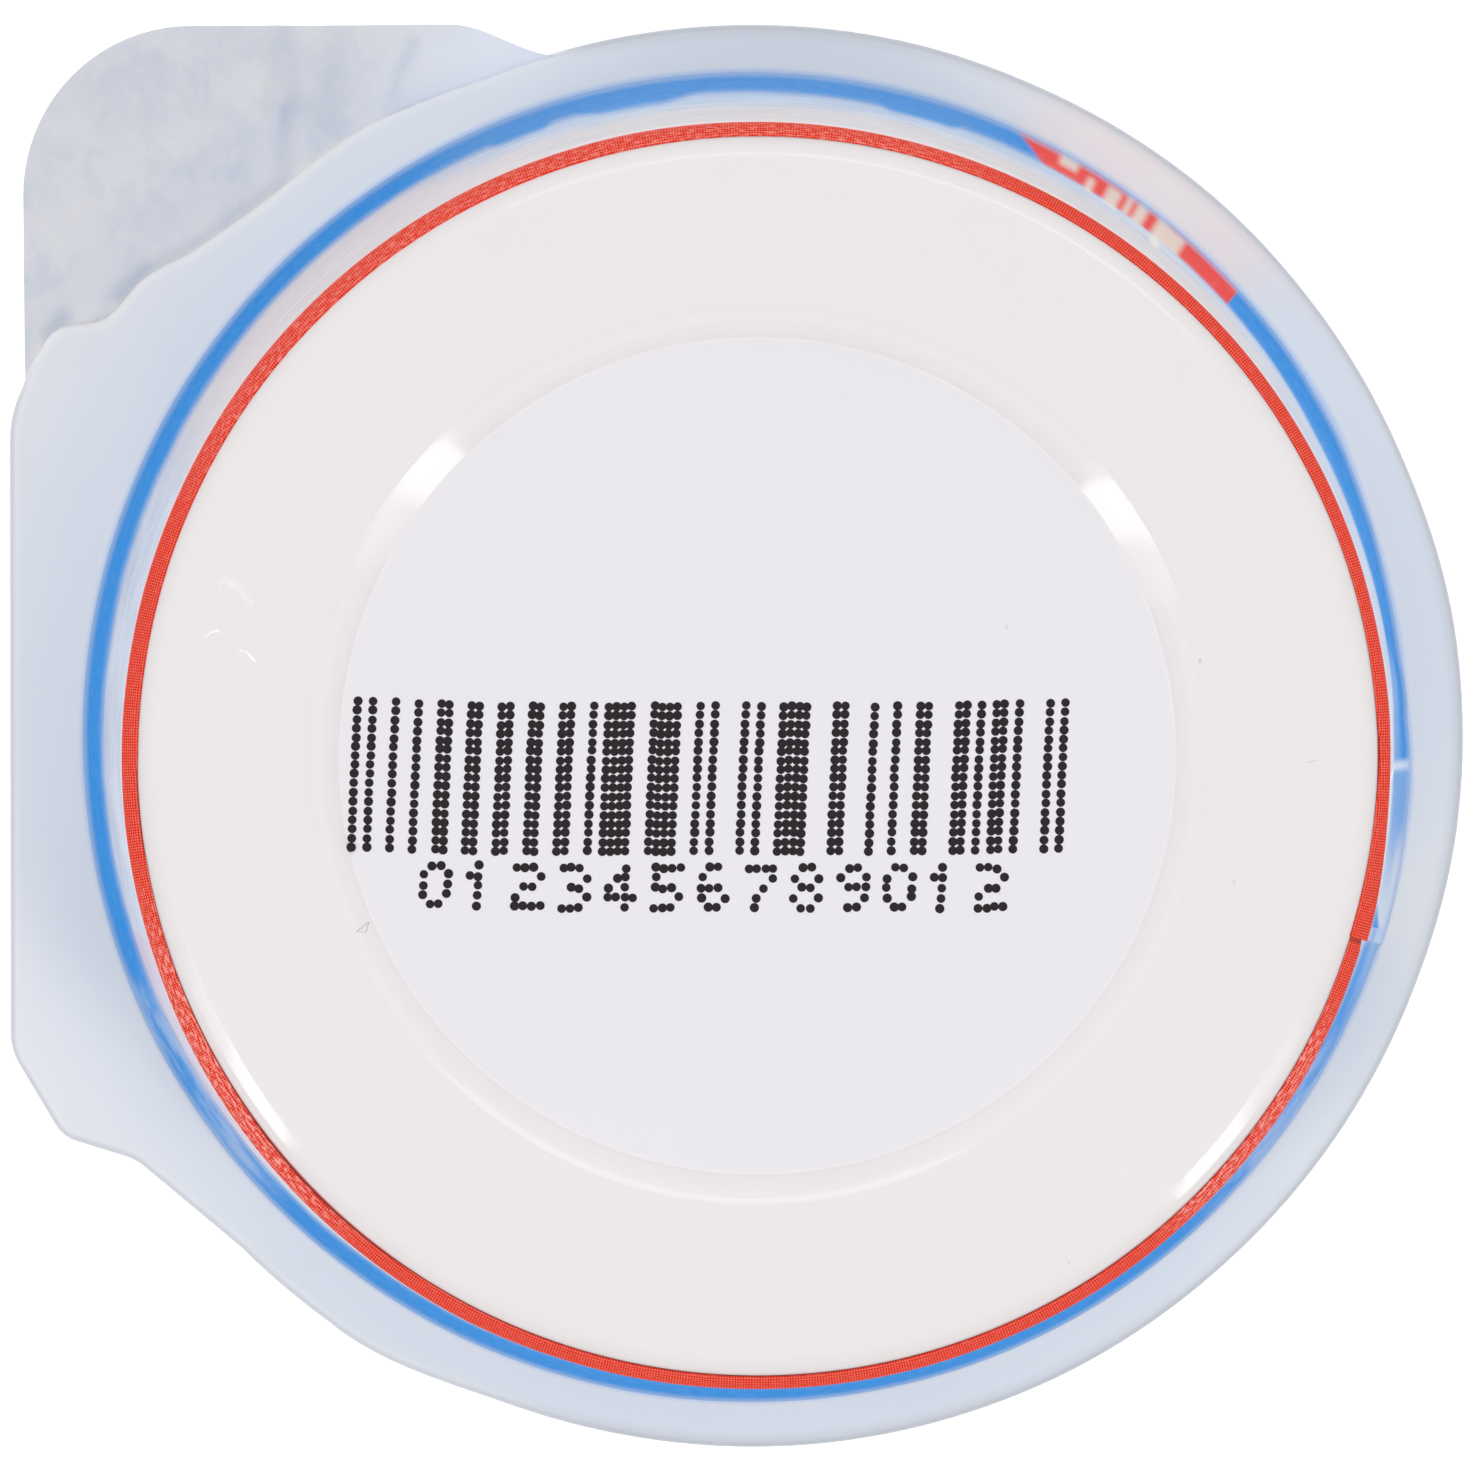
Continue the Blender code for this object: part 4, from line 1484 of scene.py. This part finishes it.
def flank_rise(x, y):
    """How far the foil climbs beside the flange's flank, where it clings to it."""
    turn = angle_of((x, y))
    if not TAB_START < turn < TAB_END:
        return 0.0
    beyond = beyond_flange(x, y)
    cling = smoothstep((beyond - CLING_START) / CLING_RUN)
    cling *= 1 - smoothstep((beyond - CLING_HOLD) / CLING_FALL)
    extra = CLING_EXTRA_MM * (1 - smoothstep((turn - CLING_EASE_START) / CLING_EASE_RUN))
    return (CLING_LIFT_MM + extra) * MM * cling * smoothstep((CLING_END - turn) / CLING_END_RUN)


# Folds of the tab: lift in millimetres, darkness of its painted shade, two pixels that it runs between,
# and half width in millimetres. The rows along the flank carry the flange's painted shadow on the foil.
FOLDS = (
    (0.30, 0.25, (281, 34), (283, 110), 0.7),
    (0.25, 0.35, (283, 110), (286, 178), 0.5),
    (0.22, 0.80, (416, 44), (404, 70), 0.35),
    (0.20, 0.60, (404, 70), (394, 98), 0.30),
    (0.15, 0.30, (340, 40), (330, 120), 0.8),
    (0.10, 0.90, (50, 336), (66, 319), 0.45),
    (0.10, 0.95, (123, 296), (148, 271), 0.50),
    (0.05, 0.60, (150, 271), (200, 243), 0.36),
    (0.05, 0.55, (200, 243), (286, 181), 0.34),
    (0.10, 0.30, (290, 100), (330, 120), 0.9),
)


def crease(x, y, start, end, width):
    """Height share of a soft crease that runs between two points."""
    start, end, here = Vector(start), Vector(end), Vector((x, y))
    run = end - start
    along = min(1.0, max(0.0, (here - start).dot(run) / run.length_squared))
    away = (here - start - run * along).length
    return math.exp(-((away / width) ** 2))


def make_lid(finish):
    """The foil lid: flat where it is sealed, softly crumpled on its peel tab."""
    deselect()
    cells = round(LID_BLANK / FOIL_CELL)
    bpy.ops.mesh.primitive_grid_add(x_subdivisions=cells, y_subdivisions=cells, size=LID_BLANK)
    lid = name_piece("foil_lid")
    select_by(lid, "faces", lambda face: face.center.x < FINE_BEFORE_X and face.center.y > FINE_BEYOND_Y)
    bpy.ops.mesh.subdivide(number_cuts=FOIL_CUTS)
    bpy.ops.mesh.select_all(action="SELECT")
    bpy.ops.mesh.extrude_region_move(TRANSFORM_OT_translate={"value": (0, 0, LID_TOP - FOIL_SINK)})
    face_outwards()
    cutter = outline_plate("lid_cutter", lid_outline(), -CUTTER_REACH, CUTTER_REACH)
    boolean(lid, cutter, "INTERSECT")
    tone = lid.data.attributes.new(FOLD_SHADE_ATTRIBUTE, "FLOAT", "POINT")
    for vertex in lid.data.vertices:
        x, y = vertex.co.x, vertex.co.y
        lift = TAB_LIFT + CRUMPLE_LIFT * noise.noise(Vector((x, y, 0.0)) * CRUMPLE_GRAIN)
        ripple = noise.noise(Vector((x, y * RIPPLE_STRETCH, RIPPLE_LEVEL)) * RIPPLE_GRAIN)
        lift += RIPPLE_LIFT * ripple
        dark = 0.0
        # Each fold lifts the foil and adds its painted shade.
        for depth, darkness, start, end, width in FOLDS:
            near = crease(x, y, on_base(*start, 0.0).xy, on_base(*end, 0.0).xy, width * MM)
            lift += depth * MM * near
            dark = max(dark, darkness * near)
        vertex.co.z += tab_share(x, y) * lift + flank_rise(x, y)
        tone.data[vertex.index].value = dark
    smooth(lid, FOIL_CORNER_ANGLE)
    hand_over(lid, "lid", "lid_foil", finish)


# Print on the base

DIGITS = {
    "0": (".##.", "#..#", "#..#", "#..#", ".##."),
    "1": (".#..", "##..", ".#..", ".#..", ".#.."),
    "2": ("###.", "...#", ".##.", "#...", "####"),
    "3": ("###.", "...#", ".##.", "...#", "###."),
    "4": ("..#.", ".##.", "#.#.", "####", "..#."),
    "5": ("####", "#...", "###.", "...#", "###."),
    "6": (".##.", "#...", "###.", "#..#", ".##."),
    "7": ("####", "...#", "..#.", ".#..", ".#.."),
    "8": (".##.", "#..#", ".##.", "#..#", ".##."),
    "9": (".##.", "#..#", ".###", "...#", ".##."),
}


def bar_modules(chance):
    """Which of 95 columns are inked: plain guards at the ends and middle, made-up bars between."""
    guard = [True, False, True]
    modules = []
    for _ in range(2):
        half = []
        while len(half) < HALF_COLUMNS - 1:
            half += [False] * chance.choice((1, 2, 2, 2, 3)) + [True] * chance.choice((1, 1, 1, 2, 2, 4))
        modules.append(half[:HALF_COLUMNS] + [False])
    return guard + modules[0] + [False, True, False, True, False] + modules[1] + guard


def either_way(chance, reach):
    """A chance amount, up to a reach either way."""
    return chance.uniform(-reach, reach)


def ink_places():
    """Where each dot of the bars and of the plain counting digits falls, in photograph pixels."""
    chance = random.Random(BAR_SEED)
    row_shift = [either_way(chance, ROW_SHIFT_PX) for _ in range(BAR_ROWS)]
    rise_start, rise_run = RIGHT_RISE_COLUMNS
    places = []
    for column, inked in enumerate(bar_modules(chance)):
        if not inked:
            continue
        sway = either_way(chance, BAR_SWAY_PX)
        dip = LEFT_DIP_PX * smoothstep(column / LEFT_DIP_COLUMNS)
        dip -= RIGHT_RISE_PX * smoothstep((column - rise_start) / rise_run)
        dip += either_way(chance, COLUMN_STRAY_PX)
        for row in range(BAR_ROWS):
            slant = BAR_SLANT_PX * (row / (BAR_ROWS - 1)) ** BAR_SLANT_BEND
            x = BAR_LEFT_PX + column * MODULE_PX - slant + sway + either_way(chance, DOT_STRAY_PX[0])
            y = BAR_TOP_PX + row * ROW_PX + dip * (1 - LOW_ROW_EASE * row / BAR_ROWS) + row_shift[row]
            places.append((x, y + either_way(chance, DOT_STRAY_PX[1])))
    for number in range(DIGIT_COUNT):
        for row, cells in enumerate(DIGITS[str(number % 10)]):
            for column, cell in enumerate(cells):
                if cell == "#":
                    x = DIGIT_LEFT_PX + number * DIGIT_PITCH_PX + column * DIGIT_CELL_PX
                    x += either_way(chance, DIGIT_STRAY_PX[0]) - row * DIGIT_SLANT_PX
                    y = DIGIT_TOP_PX + row * DIGIT_ROW_PX
                    y += DIGIT_DROP_PX * smoothstep(number / DIGIT_DROP_COUNT)
                    places.append((x, y + either_way(chance, DIGIT_STRAY_PX[1])))
    return places


def make_ink(finish):
    """The ink-jet print: one round dot, copied to every place and joined."""
    deselect()
    bpy.ops.mesh.primitive_cylinder_add(vertices=DOT_SIDES, radius=INK_DOT, depth=INK_DEPTH)
    dot = bpy.context.object
    bpy.ops.object.mode_set(mode="EDIT")
    bpy.ops.mesh.select_all(action="SELECT")
    bpy.ops.mesh.bevel(offset=INK_DEPTH * DOT_EDGE_SHARE, segments=1, affect="EDGES")
    bpy.ops.object.mode_set(mode="OBJECT")
    chance = random.Random(DOT_SEED)
    lowest, spread = DOT_LIFTS
    copies = []
    for x, y in ink_places():
        copy = dot.copy()
        copy.data = dot.data.copy()
        place = on_base(x, y, RECESS_HEIGHT)
        place.z = recess_surface(place.xy.length + INK_DOT)
        place.z += INK_DEPTH * (lowest + spread * chance.random())
        copy.location = place
        size = chance.uniform(*DOT_SIZES)
        copy.scale = (size, size, 1.0)
        bpy.context.collection.objects.link(copy)
        copies.append(copy)
    deselect()
    for copy in copies:
        copy.select_set(True)
    bpy.context.view_layer.objects.active = copies[0]
    bpy.ops.object.join()
    printed = name_piece("base_print")
    bpy.data.objects.remove(dot, do_unlink=True)
    smooth(printed)
    hand_over(printed, None, "print_ink", finish)


def make_floor(finish):
    """A wide plain board under the pot."""
    deselect()
    bpy.ops.mesh.primitive_grid_add(x_subdivisions=FLOOR_CUTS, y_subdivisions=FLOOR_CUTS, size=FLOOR_SIDE)
    floor = bpy.context.object
    floor.name = "floor"
    floor.location.z = -FLOOR_DROP
    floor.data.materials.append(finish)
    settle(floor)


make_camera()
light_studio()
make_floor(floor_board())
make_cup(cup_plastic())
make_wrap(wrap_print(), cut_paper())
make_lid(lid_foil())
make_ink(ink())
